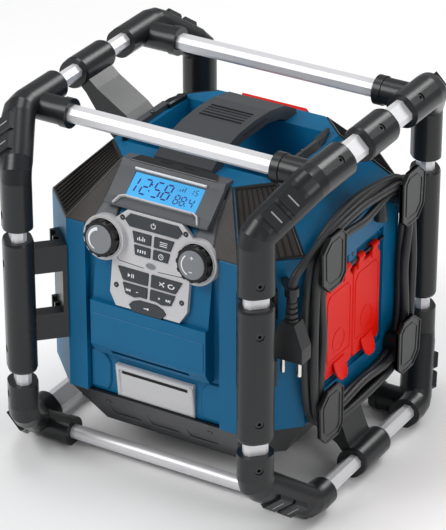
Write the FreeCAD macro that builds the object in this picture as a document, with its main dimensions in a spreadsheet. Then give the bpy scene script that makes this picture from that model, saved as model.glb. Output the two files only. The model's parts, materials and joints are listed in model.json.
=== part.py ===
"""Jobsite radio in a roll cage, as a parametric FreeCAD document.

Millimetres, +Z up, the front looks along -Y and the socket side along +X.
The origin is on the ground, under the middle of the cage.
"""
import FreeCAD, Part
import math
import os
import re
import Sketcher

SIZES = {
    # Cage: the two hoops lie in planes left and right of the body
    "hoop_x": 170, "hoop_top_z": 390, "hoop_bottom_z": 17.8,
    "post_x": 141, "post_y": 180.5, "top_bend_y": 129, "top_bend_z": 349,
    "bottom_bend_y": 117, "bottom_bend_z": 67,
    "top_side_end_y": 65, "bottom_side_end_y": 92,
    "top_post_end_z": 286, "bottom_post_end_z": 104,
    "sleeve_long": 38.2, "sleeve_thick": 31.6, "bend_length": 9,
    "tube_long": 25.4, "tube_thick": 16, "tube_bevel": 4.5, "tube_wall": 1.6,
    "tube_grip": 22, "tube_clearance": 0.2,
    "cross_top_y": 106, "cross_top_drop": 3, "cross_long": 20, "cross_end_x": 120,
    "cross_bottom_y": 118, "cross_bottom_drop": 2.5, "cross_round": 16, "cross_grip": 20,
    "stub_round": 29.6, "stub_collar": 32, "stub_collar_length": 9,
    "foot_reach": 200, "foot_depth": 20,
    "rib_height": 2.4, "rib_width": 26, "rib_length": 19, "rib_gap": 4,
    # Brackets that hold the body in the cage
    "bracket_top_z": 272, "bracket_bottom_z": 120, "arm_upper_z": 246, "arm_lower_z": 168,
    "arm_height": 30, "arm_thick": 15, "arm_plate_long": 38, "arm_plate_thick": 5,
    "clamp_length": 57, "clamp_arm_width": 44, "clamp_arm_thick": 13,
    # Housing: an upright box with four wide corner chamfers
    "body_x": 152, "body_y": 149, "corner_cut": 49.6,
    "body_bottom_z": 95, "body_shoulder_z": 290, "deck_z": 346.5,
    "deck_x": 98, "deck_y": 96, "deck_cut": 34,
    "wall": 3.5, "seat_gap": 0.3, "front_bay_x": 80, "front_bay_depth": 8,
    "side_bay_y": 66, "side_bay_depth": 5,
    # Base pan under the housing
    "base_bottom_z": 43, "base_x": 118, "base_side_y": 76, "base_front_x": 79.5, "base_y": 113.7,
    "base_pocket_width": 34, "base_pocket_height": 15, "base_pocket_depth": 3, "base_pitch": 47,
    # Carry handle and the wells beside it
    "handle_half_width": 34, "handle_top_z": 373, "handle_thick": 14, "handle_reach_y": 88,
    "well_x": 84, "well_y": 62, "well_depth": 44,
    "trim_length": 56, "trim_height": 8,
    # Display hood, display and control panel
    "hood_half_width": 61, "hood_front_y": 141, "hood_low_z": 312,
    "display_width": 82, "display_height": 27, "display_z": 334, "display_y": 120.2,
    "display_tilt": 51, "display_thick": 3,
    "panel_tilt": 9, "panel_y": 157, "panel_height": 102, "panel_half_width": 46,
    "panel_z": "=hood_low_z + 3.44 - panel_height * cos(panel_tilt)",
    "panel_thick": 5, "bezel_x": 55, "bezel_up": 68, "bezel_round": 48,
    "bezel_height": 6, "knob_round": 38, "knob_cap_round": 31, "knob_height": 14,
    "knob_shaft_round": 6, "button_height": 1.6, "button_travel": 1.0, "button_clearance": 0.3,
    # Front band, slot and badge
    "band_half_width": 69, "band_y": 158, "band_top_z": "=panel_z - 1.1", "band_bottom_z": 159,
    "badge_half_width": 47, "badge_top_z": 134, "badge_bottom_z": 80, "badge_y": 147,
    # Corner loudspeakers
    "grille_thick": 3, "driver_round": 60, "driver_depth": 34, "woofer_round": 132, "woofer_depth": 52,
    # Socket side
    "lid_width": 59.4, "lid_bottom_z": 126.5, "lid_top_z": 230, "lid_thick": 4, "lid_hinge_z": 241,
    "lid_hinge_round": 8, "lid_x": 152.6, "lid_pin_round": 4,
    "hook_y": 81, "hook_low_z": 110, "hook_high_z": 287, "hook_reach_x": 176, "hook_round": 22,
    "hook_plate_width": 38, "hook_plate_height": 46, "hook_plate_thick": 5,
    # Mains cord
    "cord_round": 8, "coil_width": 17, "coil_build": 18, "coil_gap": 1,
    "plug_x": 156, "plug_y": 136, "clip_low_z": 266.8, "clip_height": 9, "clip_wall": 3.4,
    "gland_y": 44, "gland_round": 14, "gland_length": 26,
    "pin_round": 4.8, "pin_length": 19, "pin_pitch": 19,
    "plug_width": 35, "plug_thick": 18, "plug_bottom_z": 196, "plug_top_z": 238,
    "relief_top_z": 266, "relief_round": 14,
    # Rear bay
    "door_half_width": 58, "door_z": 114, "door_thick": 4, "door_barrel": 8, "door_pin_round": 4,
    "latch_width": 78, "latch_thick": 4,
    # Inside
    "board_thick": 1.6, "board_height": 44, "board_half_width": 66, "supply_width": 84, "supply_depth": 34,
    "supply_height": 40,
    # Fasteners
    "screw_head": 8.4, "screw_length": 6.2, "screw_sink": 1.2,
}

NODES = []
X, Y, Z = FreeCAD.Vector(1, 0, 0), FreeCAD.Vector(0, 1, 0), FreeCAD.Vector(0, 0, 1)

doc = FreeCAD.newDocument("JobsiteRadio")
sheet = doc.addObject("Spreadsheet::Sheet", "Sizes")
for row, (alias, value) in enumerate(SIZES.items(), start=1):
    sheet.set(f"A{row}", alias.replace("_", " "))
    sheet.set(f"B{row}", str(value))
    sheet.setAlias(f"B{row}", alias)
doc.recompute()


def formula(text):
    """Turn an expression in size names into one that reads the sheet."""
    return re.sub(r"[a-z][a-z_]+", lambda m: "Sizes." + m[0] if m[0] in SIZES else m[0], str(text))


def size(text):
    """The value of an expression in size names, for shapes made in code."""
    values = {alias: float(sheet.get(alias)) for alias in re.findall(r"[a-z][a-z_]+", text) if alias in SIZES}
    parser = doc.getObject("Scratch") or doc.addObject("App::FeaturePython", "Scratch")
    if not hasattr(parser, "Value"):
        parser.addProperty("App::PropertyFloat", "Value")
    if not values:
        return float(text)
    return float(parser.evalExpression(formula(text)))


def bind(thing, **expressions):
    """Tie properties to the sheet; two underscores stand for a dot."""
    for name, text in expressions.items():
        thing.setExpression(name.replace("__", "."), formula(text))


def place(thing, x=0, y=0, z=0, axis=Z, angle=0):
    """Set where a thing stands, with its place tied to the sheet."""
    if str(angle).startswith("-"):
        axis, angle = -axis, str(angle)[1:]
    turn = FreeCAD.Rotation(axis, size(str(angle))) if angle else FreeCAD.Rotation()
    thing.Placement = FreeCAD.Placement(FreeCAD.Vector(), turn)
    bind(thing, Placement__Base__x=x, Placement__Base__y=y, Placement__Base__z=z)
    if angle:
        bind(thing, Placement__Rotation__Angle=angle)
    return thing


def node(thing, label):
    """Give a finished sub-part its name and list it for export."""
    thing.Label = label
    NODES.append(thing)
    return thing


def sketch(body, role, points, offset=0, circles=()):
    """A closed outline of straight lines, and any circles, on an origin plane."""
    outline = body.newObject("Sketcher::SketchObject", "Outline")
    plane = next(item for item in body.Origin.OriginFeatures if item.Role == role)
    outline.AttachmentSupport = [(plane, "")]
    outline.MapMode = "FlatFace"
    bind(outline, AttachmentOffset__Base__z=offset)
    spots = [FreeCAD.Vector(size(str(a)), size(str(b)), 0) for a, b in points]
    for index, spot in enumerate(spots):
        outline.addGeometry(Part.LineSegment(spot, spots[(index + 1) % len(spots)]))
    for index in range(len(spots)):
        after = (index + 1) % len(spots)
        outline.addConstraint(Sketcher.Constraint("Coincident", index, 2, after, 1))
    for index, pair in enumerate(points):
        for kind, value, text in zip(("DistanceX", "DistanceY"), spots[index], pair):
            number = outline.addConstraint(Sketcher.Constraint(kind, -1, 1, index, 1, value))
            outline.setExpression(f"Constraints[{number}]", formula(text))
    for a, b, radius in circles:
        centre = FreeCAD.Vector(size(str(a)), size(str(b)), 0)
        ring = outline.addGeometry(Part.Circle(centre, Z, size(str(radius))))
        for kind, value, text in zip(("DistanceX", "DistanceY"), centre, (a, b)):
            number = outline.addConstraint(Sketcher.Constraint(kind, -1, 1, ring, 3, value))
            outline.setExpression(f"Constraints[{number}]", formula(text))
        number = outline.addConstraint(Sketcher.Constraint("Radius", ring, size(str(radius))))
        outline.setExpression(f"Constraints[{number}]", formula(radius))
    return outline


def prism(name, role, points, start, length, circles=()):
    """A body with one outline padded from start along the plane's normal."""
    body = doc.addObject("PartDesign::Body", name)
    outline = sketch(body, role, points, start, circles)
    pad = body.newObject("PartDesign::Pad", "Pad")
    pad.Profile = outline
    bind(pad, Length=length)
    return body


def loft(name, role, sections):
    """A body lofted straight through outlines at given offsets."""
    body = doc.addObject("PartDesign::Body", name)
    outlines = [sketch(body, role, points, offset) for points, offset in sections]
    skin = body.newObject("PartDesign::AdditiveLoft", "Skin")
    skin.Profile = outlines[0]
    skin.Sections = outlines[1:]
    skin.Ruled = True
    return body


def lathe(name, points):
    """A body turned about its own Z axis from (radius, height) points."""
    body = doc.addObject("PartDesign::Body", name)
    outline = sketch(body, "XZ_Plane", points)
    turned = body.newObject("PartDesign::Revolution", "Turned")
    turned.Profile = outline
    turned.ReferenceAxis = (outline, ["V_Axis"])
    turned.Angle = 360
    return body


def box(name, length, width, height):
    """A plain block from the origin."""
    block = doc.addObject("Part::Box", name)
    bind(block, Length=length, Width=width, Height=height)
    return block


def rod(name, diameter, length):
    """A round rod up from the origin."""
    bar = doc.addObject("Part::Cylinder", name)
    bind(bar, Radius=f"({diameter}) / 2", Height=length)
    return bar


def cut(base, tools, name="Cut"):
    """Take tools away from a base."""
    return boolean("Part::Cut", base, tools, name)


def fuse(things, name="Fuse"):
    """Join things into one."""
    joined = doc.addObject("Part::MultiFuse", name)
    joined.Shapes = things
    joined.Refine = True
    return joined


def boolean(kind, base, tools, name):
    """A cut or a common part of a base and one or more tools."""
    result = doc.addObject(kind, name)
    result.Base = base
    result.Tool = tools[0] if len(tools) == 1 else fuse(tools, "Tools")
    result.Refine = True
    return result


def mirror(thing, normal, name="Mirror"):
    """The thing mirrored in the plane through the origin with this normal."""
    other = doc.addObject("Part::Mirroring", name)
    other.Source = thing
    other.Normal = normal
    return other


def group(things, name="Group"):
    """Separate solids under one name."""
    together = doc.addObject("Part::Compound", name)
    together.Links = things
    return together


def copy(thing, name="Copy", **where):
    """A copy of a thing at another place."""
    again = doc.addObject("Part::Compound", name)
    again.Links = [thing]
    return place(again, **where)


def four(thing):
    """A thing and its mirror images left, behind and both."""
    left = mirror(thing, X)
    return [thing, left, mirror(thing, Y), mirror(left, Y)]


def slab(half_x, half_y):
    """The four corners of a centred rectangle."""
    return [(f"-({half_x})", f"-({half_y})"), (half_x, f"-({half_y})"), (half_x, half_y),
            (f"-({half_x})", half_y)]


def octagon(half_x, half_y, side_y, front_x):
    """A rectangle with its corners cut off, from its half sizes and edge ends."""
    corners = [(front_x, f"-({half_y})"), (half_x, f"-({side_y})"), (half_x, side_y), (front_x, half_y)]
    return corners + [(f"-({a})", b) for a, b in reversed(corners)]


# Roll cage

TUBE = [("-tube_long / 2 + tube_bevel", "-tube_thick / 2"), ("tube_long / 2 - tube_bevel", "-tube_thick / 2"),
        ("tube_long / 2", "-tube_thick / 2 + tube_bevel"), ("tube_long / 2", "tube_thick / 2 - tube_bevel"),
        ("tube_long / 2 - tube_bevel", "tube_thick / 2"), ("-tube_long / 2 + tube_bevel", "tube_thick / 2"),
        ("-tube_long / 2", "tube_thick / 2 - tube_bevel"), ("-tube_long / 2", "-tube_thick / 2 + tube_bevel")]


def grown(points, by):
    """Tube outline points moved outwards by a size."""
    signs = [(-1, -1), (1, -1), (1, -1), (1, 1), (1, 1), (-1, 1), (-1, 1), (-1, -1)]
    return [(f"{a} + {sx} * ({by})", f"{b} + {sy} * ({by})") for (a, b), (sx, sy) in zip(points, signs)]


def cross_outline(points):
    """The tube outline narrowed to the cross tube's width."""
    return [(a.replace("tube_long", "cross_long"), b) for a, b in points]


def tube(name, role, points, start, length):
    """A hollow tube between two ends."""
    bore = prism(name + "Bore", role, grown(points, "-tube_wall"), f"{start} - 1", f"{length} + 2")
    return cut(prism(name, role, points, start, length), [bore], name + "Tube")


def stadium(spot, ahead, outward, scale=1.0):
    """The moulded section at one place: flat towards outward, round at both ends."""
    ahead = FreeCAD.Vector(ahead).normalize()
    across = ahead.cross(outward).normalize()
    outward = across.cross(ahead)
    thick = size("sleeve_thick") / 2 * scale
    straight = size("sleeve_long") / 2 * scale - thick
    tips = [spot + across * straight * a + outward * thick * b for a,
            b in ((-1, -1), (1, -1), (1, 1), (-1, 1))]
    ends = [spot + across * (straight + thick) * a for a in (1, -1)]
    edges = [Part.LineSegment(tips[0], tips[1]), Part.Arc(tips[1], ends[0], tips[2]),
             Part.LineSegment(tips[2], tips[3]), Part.Arc(tips[3], ends[1], tips[0])]
    return Part.Wire([edge.toShape() for edge in edges])


def bend(before, corner, after, reach):
    """Places around a rounded corner, with the direction at each."""
    into, out = (corner - before).normalize(), (after - corner).normalize()
    start, end = corner - into * reach, corner + out * reach
    places = []
    for part in (0, 0.5, 1):
        spot = start * (1 - part) ** 2 + corner * 2 * part * (1 - part) + end * part ** 2
        places.append((spot, into * (1 - part) + out * part, part))
    return places


def elbow_core(name, side_end, corner, knee, post_end, up):
    """The bent moulding from the side rail to the post, its section turning as it runs."""
    side_out, knee_out = FreeCAD.Vector(1, 0, up), FreeCAD.Vector(1, 1, up)
    post_out = FreeCAD.Vector(1, 1, 0)
    reach = size("bend_length")
    sections = [stadium(side_end, corner - side_end, side_out)]
    for spot, ahead, part in bend(side_end, corner, knee, reach):
        sections.append(stadium(spot, ahead, side_out * (1 - part) + knee_out * part))
    for spot, ahead, part in bend(corner, knee, post_end, reach):
        sections.append(stadium(spot, ahead, knee_out * (1 - part) + post_out * part))
    sections.append(stadium(post_end, post_end - knee, post_out))
    core = doc.addObject("Part::Feature", name)
    core.Shape = Part.makeLoft(sections, True, True)
    return core


def rib_blocks(name, corner, knee, up):
    """The two raised blocks on the outside of an elbow's diagonal."""
    run = (knee - corner).normalize()
    outward = FreeCAD.Vector(1, 1, up)
    across = run.cross(outward).normalize()
    outward = across.cross(run)
    middle = (corner + knee) * 0.5
    half_width = size("rib_width") / 2
    low, high = size("sleeve_thick") / 4, size("sleeve_thick") / 2 + size("rib_height")
    blocks = []
    for side in (-1, 1):
        near = side * size("rib_gap") / 2
        far = side * (size("rib_gap") / 2 + size("rib_length"))
        outline = [middle + run * along + across * half_width * a
                   for along, a in ((near, -1), (far, -1), (far, 1), (near, 1))]
        face = Part.Face(Part.makePolygon([spot + outward * low for spot in outline + outline[:1]]))
        block = face.extrude(outward * (high - low))
        blocks.append(block.makeChamfer(size("rib_height") * 0.7, block.Edges[8:]))
    ribs = doc.addObject("Part::Feature", name)
    ribs.Shape = Part.Compound(blocks)
    return ribs


def screw(name, head="screw_head", length="screw_length"):
    """A recessed screw with a hexagon socket, its head at the top."""
    shank = rod(name + "Shank", head, length)
    socket = doc.addObject("Part::Prism", name + "Socket")
    socket.Polygon = 6
    bind(socket, Circumradius=f"{head} / 4", Height=f"{length} / 2")
    place(socket, z=f"{length} / 2")
    return cut(shank, [socket], name)


SCREW = screw("CageScrew")
CAGE_SCREWS = []
CLAMP_SCREWS = []


def drill(x, y, z, axis, angle, distance, screws_made=CAGE_SCREWS):
    """A screw hole for the cage, with its screw added to a list.

    The screw points outwards along Z turned about axis, sunk under the
    surface that lies at distance from the place.
    """
    turn = FreeCAD.Rotation(axis, size(str(angle)))
    hole = rod("ScrewHole", "screw_head + 2 * seat_gap", "screw_length + screw_sink + 4")
    fastener = copy(SCREW, "ScrewCopy")
    for thing, back in ((hole, "screw_length + screw_sink + seat_gap"),
                        (fastener, "screw_length + screw_sink")):
        inward = turn.multVec(Z)
        rise = f"({distance} - ({back}))"
        spots = [f"{a} + {part:.6f} * {rise}" for a, part in zip((x, y, z), inward)]
        place(thing, spots[0], spots[1], spots[2], axis, angle)
    screws_made.append(fastener)
    return hole


OUT_DIAGONAL = FreeCAD.Vector(-1, 1, 0)
FLAT_OUT = "sleeve_thick / 2"


def elbow(name, side_end, corner_y, hoop_z, knee_z, post_end, up, cross_y, cross_z, holes):
    """One corner moulding, right rear, with its three sockets."""
    corner = FreeCAD.Vector(size("hoop_x"), size(corner_y), size(hoop_z))
    knee = FreeCAD.Vector(size("post_x"), size("post_y"), size(knee_z))
    start = FreeCAD.Vector(size("hoop_x"), size(side_end), size(hoop_z))
    end = FreeCAD.Vector(size("post_x"), size("post_y"), size(post_end))
    core = elbow_core(name + "Core", start, corner, knee, end, up)
    ribs = rib_blocks(name + "Ribs", corner, knee, up)
    stub = rod(name + "Stub", "stub_round", "hoop_x - cross_end_x")
    collar = rod(name + "Collar", "stub_collar", "stub_collar_length")
    for thing in (stub, collar):
        place(thing, x="cross_end_x", y=cross_y, z=cross_z, axis=Y, angle=90)
    return cut(fuse([core, ribs, stub, collar], name + "Solid"), holes, name)


fit = grown(TUBE, "tube_clearance")
side_socket = place(prism("SideSocket", "XZ_Plane", fit, "-top_side_end_y - tube_grip - seat_gap",
                          "tube_grip + 30"),
                    x="hoop_x", z="hoop_top_z", axis=Y, angle=45)
post_socket = place(prism("PostSocket", "XY_Plane", fit, "top_post_end_z - 10", "tube_grip + 10 + seat_gap"),
                    x="post_x", y="post_y", axis=Z, angle=-45)
cross_socket = place(prism("CrossSocket", "YZ_Plane", cross_outline(fit), "cross_end_x - 10",
                           "cross_grip + 10 + seat_gap"),
                     y="cross_top_y", z="hoop_top_z - cross_top_drop")
top_holes = [side_socket, post_socket, cross_socket,
             drill("post_x", "post_y", "top_post_end_z + 14", OUT_DIAGONAL, 90, FLAT_OUT),
             drill("hoop_x", "top_side_end_y + 20", "hoop_top_z", Y, 45, FLAT_OUT)]
top_elbow = elbow("TopElbow", "top_side_end_y", "top_bend_y", "hoop_top_z", "top_bend_z", "top_post_end_z", 1,
                  "cross_top_y", "hoop_top_z - cross_top_drop", top_holes)

low_side = place(prism("LowSideSocket", "XZ_Plane", fit, "-bottom_side_end_y - tube_grip - seat_gap",
                       "tube_grip + 30"),
                 x="hoop_x", z="hoop_bottom_z", axis=Y, angle=-45)
low_post = place(prism("LowPostSocket", "XY_Plane", fit, "bottom_post_end_z - tube_grip - seat_gap",
                       "tube_grip + 10 + seat_gap"),
                 x="post_x", y="post_y", axis=Z, angle=-45)
low_cross = place(rod("LowCrossSocket", "cross_round + 2 * tube_clearance", "cross_grip + 10 + seat_gap"),
                  x="cross_end_x - 10", y="cross_bottom_y", z="hoop_bottom_z - cross_bottom_drop", axis=Y,
                  angle=90)
bottom_holes = [low_side, low_post, low_cross,
                drill("post_x", "post_y", "bottom_post_end_z - 14", OUT_DIAGONAL, 90, FLAT_OUT),
                place(box("FootFlat", "foot_reach", "foot_reach", "foot_depth"), x="hoop_x - foot_reach / 2",
                      z="-foot_depth")]
bottom_elbow = elbow("BottomElbow", "bottom_side_end_y", "bottom_bend_y", "hoop_bottom_z", "bottom_bend_z",
                     "bottom_post_end_z", -1, "cross_bottom_y", "hoop_bottom_z - cross_bottom_drop",
                     bottom_holes)

CORNERS = ("rear_right", "rear_left", "front_right", "front_left")
for level, moulding in (("top", top_elbow), ("bottom", bottom_elbow)):
    for corner_name, piece in zip(CORNERS, four(moulding)):
        node(piece, f"{level}_elbow_{corner_name}")

post = place(tube("Post", "XY_Plane", TUBE, "bottom_post_end_z - tube_grip",
                  "top_post_end_z - bottom_post_end_z + 2 * tube_grip"),
             x="post_x", y="post_y", axis=Z, angle=-45)
node(group(four(post)), "cage_posts")
top_rail = place(tube("TopRail", "XZ_Plane", TUBE, "-top_side_end_y - tube_grip",
                      "2 * top_side_end_y + 2 * tube_grip"), x="hoop_x", z="hoop_top_z", axis=Y, angle=45)
low_rail = place(tube("LowRail", "XZ_Plane", TUBE, "-bottom_side_end_y - tube_grip",
                      "2 * bottom_side_end_y + 2 * tube_grip"), x="hoop_x", z="hoop_bottom_z", axis=Y,
                      angle=-45)
node(group([top_rail, mirror(top_rail, X)]), "top_side_rails")
node(group([low_rail, mirror(low_rail, X)]), "bottom_side_rails")
cross = place(tube("CrossRail", "YZ_Plane", cross_outline(TUBE), "-cross_end_x - cross_grip",
                   "2 * cross_end_x + 2 * cross_grip"), y="cross_top_y", z="hoop_top_z - cross_top_drop")
node(group([cross, mirror(cross, Y)]), "top_cross_rails")
low_outside = rod("LowCross", "cross_round", "2 * cross_end_x + 2 * cross_grip")
low_inside = rod("LowCrossBore", "cross_round - 2 * tube_wall", "2 * cross_end_x + 2 * cross_grip")
low_rod = place(cut(low_outside, [low_inside]), x="-cross_end_x - cross_grip", y="cross_bottom_y",
                z="hoop_bottom_z - cross_bottom_drop", axis=Y, angle=90)
node(group([low_rod, mirror(low_rod, Y)]), "bottom_cross_rails")


def sleeve(name, start, ahead, outward, length):
    """A moulded sleeve with eased ends."""
    ease = 3
    marks = ((0, 0.94), (ease, 1), (length - ease, 1), (length, 0.94))
    ahead = FreeCAD.Vector(ahead).normalize()
    sections = [stadium(start + ahead * along, ahead, outward, scale) for along, scale in marks]
    moulding = doc.addObject("Part::Feature", name)
    moulding.Shape = Part.makeLoft(sections, True, True)
    return moulding


# Brackets from the posts to the housing's corner chamfers

TO_BODY = "((post_x + post_y - body_x - body_y + corner_cut) / sqrt(2) - seat_gap)"
post_spot = FreeCAD.Vector(size("post_x"), size("post_y"), size("bracket_bottom_z"))
bracket_sleeve = sleeve("BracketSleeve", post_spot, Z, FreeCAD.Vector(1, 1, 0),
                        size("bracket_top_z - bracket_bottom_z"))
arms = []
for height in ("arm_upper_z", "arm_lower_z"):
    outline = [("-arm_thick / 2", f"-{TO_BODY}"), ("arm_thick / 2", f"-{TO_BODY}"),
               ("arm_thick / 2", "-4"), ("-arm_thick / 2", "-4")]
    arms.append(prism("Arm", "XY_Plane", outline, f"{height} - arm_height / 2", "arm_height"))
foot_top = "arm_upper_z + arm_height / 2"
foot_bottom = "arm_lower_z - arm_height / 2"
plate = [("-arm_thick / 2", f"-{TO_BODY}"), ("arm_plate_long - arm_thick / 2", f"-{TO_BODY}"),
         ("arm_plate_long - arm_thick / 2", f"-{TO_BODY} + arm_plate_thick"),
         ("-arm_thick / 2", f"-{TO_BODY} + arm_plate_thick")]
arms.append(prism("ArmPlate", "XY_Plane", plate, foot_bottom, f"{foot_top} - ({foot_bottom})"))
for index in range(3):
    flute = [(f"(arm_thick * {index} + 1) - arm_thick / 4", f"-{TO_BODY}"),
             (f"(arm_thick * {index} + 1) + arm_thick / 4", f"-{TO_BODY}"),
             (f"(arm_thick * {index} + 1) + arm_thick / 8", f"-{TO_BODY} + 2 * arm_plate_thick"),
             (f"(arm_thick * {index} + 1) - arm_thick / 8", f"-{TO_BODY} + 2 * arm_plate_thick")]
    for height in ("arm_upper_z", "arm_lower_z"):
        arms.append(prism("Flute", "XY_Plane", flute, f"{height} - arm_height / 2", "arm_height"))
for arm in arms:
    place(arm, x="post_x", y="post_y", axis=Z, angle=-45)
bracket_bore = place(prism("BracketBore", "XY_Plane", fit, "bracket_bottom_z - 5",
                           "bracket_top_z - bracket_bottom_z + 10"),
                     x="post_x", y="post_y", axis=Z, angle=-45)
bracket_holes = [drill("post_x", "post_y", height, OUT_DIAGONAL, 90, FLAT_OUT)
                 for height in ("bracket_top_z - 28", "bracket_bottom_z + 24")]
bracket = cut(fuse([bracket_sleeve] + arms), [bracket_bore] + bracket_holes, "Bracket")
node(group(four(bracket)), "post_brackets")


# Clamps in the middle of the side rails, with arms to the body

def clamp(name, rail_z, angle, up, arm_points):
    """A rail clamp with its arm, on the right."""
    start = FreeCAD.Vector(size("hoop_x"), -size("clamp_length") / 2, size(rail_z))
    shell = sleeve(name + "Shell", start, Y, FreeCAD.Vector(1, 0, up), size("clamp_length"))
    arm = prism(name + "Arm", "XZ_Plane", arm_points, "-clamp_arm_width / 2", "clamp_arm_width")
    hollow = place(prism(name + "Bore", "XZ_Plane", fit, "-clamp_length / 2 - 5", "clamp_length + 10"),
                   x="hoop_x", z=rail_z, axis=Y, angle=angle)
    hole = drill("hoop_x", 0, rail_z, Y, 45 if up > 0 else 135, FLAT_OUT, CLAMP_SCREWS)
    foot = place(box(name + "FootFlat", "foot_reach", "foot_reach", "foot_depth"),
                 x="hoop_x - foot_reach / 2", y="-foot_reach / 2", z="-foot_depth")
    return cut(fuse([shell, arm]), [hollow, hole, foot], name)


ROOF_RUN, ROOF_RISE = "(body_x - deck_x)", "(deck_z - body_shoulder_z)"


def on_roof(part, lift):
    """A place on the slanted side roof, part of the way up, and lifted off it."""
    length = f"sqrt({ROOF_RUN} ^ 2 + {ROOF_RISE} ^ 2)"
    return (f"body_x - {ROOF_RUN} * {part} + {lift} * {ROOF_RISE} / {length}",
            f"body_shoulder_z + {ROOF_RISE} * {part} + {lift} * {ROOF_RUN} / {length}")


UNDER_RUN, UNDER_RISE = "(body_x - base_x)", "(body_bottom_z - base_bottom_z)"


def under_base(part, lift):
    """A place on the base pan's slanted side, part of the way up, and lifted off it."""
    length = f"sqrt({UNDER_RUN} ^ 2 + {UNDER_RISE} ^ 2)"
    return (f"base_x + {UNDER_RUN} * {part} + {lift} * {UNDER_RISE} / {length}",
            f"base_bottom_z + {UNDER_RISE} * {part} - {lift} * {UNDER_RUN} / {length}")


top_arm = [on_roof(0.55, "seat_gap"), on_roof(0.55, "clamp_arm_thick"), ("hoop_x - 12", "hoop_top_z - 22"),
           ("hoop_x - 2", "hoop_top_z - 12"), ("hoop_x - 12", "hoop_top_z - 2"),
           ("hoop_x - 26", "hoop_top_z - 14"), on_roof(0.97, "clamp_arm_thick"), on_roof(0.97, "seat_gap")]
top_clamp = clamp("TopClamp", "hoop_top_z", 45, 1, top_arm)
node(group([top_clamp, mirror(top_clamp, X)]), "top_clamps")
low_arm = [under_base(0.62, "seat_gap"), under_base(0.62, "clamp_arm_thick"),
           ("hoop_x - 8", "hoop_bottom_z + 20"),
           ("hoop_x - 2", "hoop_bottom_z + 10"), ("hoop_x - 10", "hoop_bottom_z + 2"),
           ("hoop_x - 22", "hoop_bottom_z + 16"), under_base(0.1, "clamp_arm_thick"),
           under_base(0.1, "seat_gap")]
low_clamp = clamp("LowClamp", "hoop_bottom_z", -45, -1, low_arm)
node(group([low_clamp, mirror(low_clamp, X)]), "bottom_clamps")
drilled = group(CAGE_SCREWS)
clamp_drilled = group(CLAMP_SCREWS)
node(group(four(drilled) + [clamp_drilled, mirror(clamp_drilled, X)]), "cage_screws")


# Housing

def skin(inset):
    """Outlines of the housing, drawn in by a size: bottom, shoulder and deck."""
    wide = octagon(f"body_x - {inset}", f"body_y - {inset}", f"body_y - corner_cut - 0.4 * {inset}",
                   f"body_x - corner_cut - 0.4 * {inset}")
    deck = octagon(f"deck_x - {inset}", f"deck_y - {inset}", f"deck_y - deck_cut - 0.4 * {inset}",
                   f"deck_x - deck_cut - 0.4 * {inset}")
    return wide, deck


def on_front(part, lift):
    """A (depth, height) place on the slanted front roof, part of the way up, lifted off it."""
    run, rise = "(body_y - deck_y)", "(deck_z - body_shoulder_z)"
    length = f"sqrt({run} ^ 2 + {rise} ^ 2)"
    return (f"-(body_y - {run} * {part} + {lift} * {rise} / {length})",
            f"body_shoulder_z + {rise} * {part} + {lift} * {run} / {length}")


def turned(points):
    """The same (depth, height) outline for the back."""
    return [(f"-({a})", b) for a, b in points]


def on_panel(thing, x=0, up=0, lift=0):
    """Stand a thing on the tilted control panel, lifted off its face."""
    y = f"-panel_y + ({up}) * sin(panel_tilt) - ({lift}) * cos(panel_tilt)"
    z = f"panel_z + ({up}) * cos(panel_tilt) + ({lift}) * sin(panel_tilt)"
    return place(thing, x, y, z, X, "90 - panel_tilt")


outer_wide, outer_deck = skin("0")
inner_wide, inner_deck = skin("wall")
hull = loft("Hull", "XY_Plane", [(outer_wide, "body_bottom_z"), (outer_wide, "body_shoulder_z")])
roof = loft("Roof", "XY_Plane", [(outer_wide, "body_shoulder_z"), (outer_deck, "deck_z")])
room = loft("Room", "XY_Plane", [(inner_wide, "body_bottom_z - 1"),
                                 (inner_wide, "body_shoulder_z - wall / 2")])
attic = loft("Attic", "XY_Plane", [(inner_wide, "body_shoulder_z - wall / 2"), (inner_deck, "deck_z - wall")])

bay_outline = [("-body_y - 1", "body_bottom_z - 1"), ("-body_y + front_bay_depth", "body_bottom_z - 1"),
               ("-body_y + front_bay_depth", "body_shoulder_z + front_bay_depth + 4"),
               ("-body_y - 1", "body_shoulder_z + front_bay_depth + 4")]
front_bay = prism("FrontBay", "YZ_Plane", bay_outline, "-front_bay_x", "2 * front_bay_x")
bay_back = prism("BayBack", "YZ_Plane",
                 [("-body_y + wall / 2", "body_bottom_z"),
                  ("-body_y + front_bay_depth + wall", "body_bottom_z"),
                  ("-body_y + front_bay_depth + wall", "body_shoulder_z + 4"),
                  ("-body_y + wall + 4", "body_shoulder_z + 4"), ("-body_y + wall / 2", "body_shoulder_z")],
                 "-front_bay_x - wall", "2 * front_bay_x + 2 * wall")
console = on_panel(prism("Console", "XY_Plane",
                         [("-bezel_x - 14", -6), ("bezel_x + 14", -6), ("bezel_x + 14", "bezel_up + 16"),
                          ("bezel_x + 6", "panel_height - 12"), ("-bezel_x - 6", "panel_height - 12"),
                          ("-bezel_x - 14", "bezel_up + 16")],
                         "-26", "26 - panel_thick - seat_gap"))
band_outline = [("-body_y + front_bay_depth", "band_top_z - 4"), ("-band_y", "band_top_z - 4"),
                ("-band_y", "band_bottom_z"), ("-body_y", "band_bottom_z - 14"),
                ("-body_y + front_bay_depth", "band_bottom_z - 14")]
band = prism("Band", "YZ_Plane", band_outline, "-band_half_width", "2 * band_half_width")
slot = prism("FrontSlot", "YZ_Plane",
             [("-band_y - 1", "band_bottom_z - 5"), ("-body_y + front_bay_depth + 1", "band_bottom_z - 5"),
              ("-body_y + front_bay_depth + 1", "band_bottom_z - 9"), ("-band_y - 1", "band_bottom_z - 9")],
             "-badge_half_width", "2 * badge_half_width")

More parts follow.
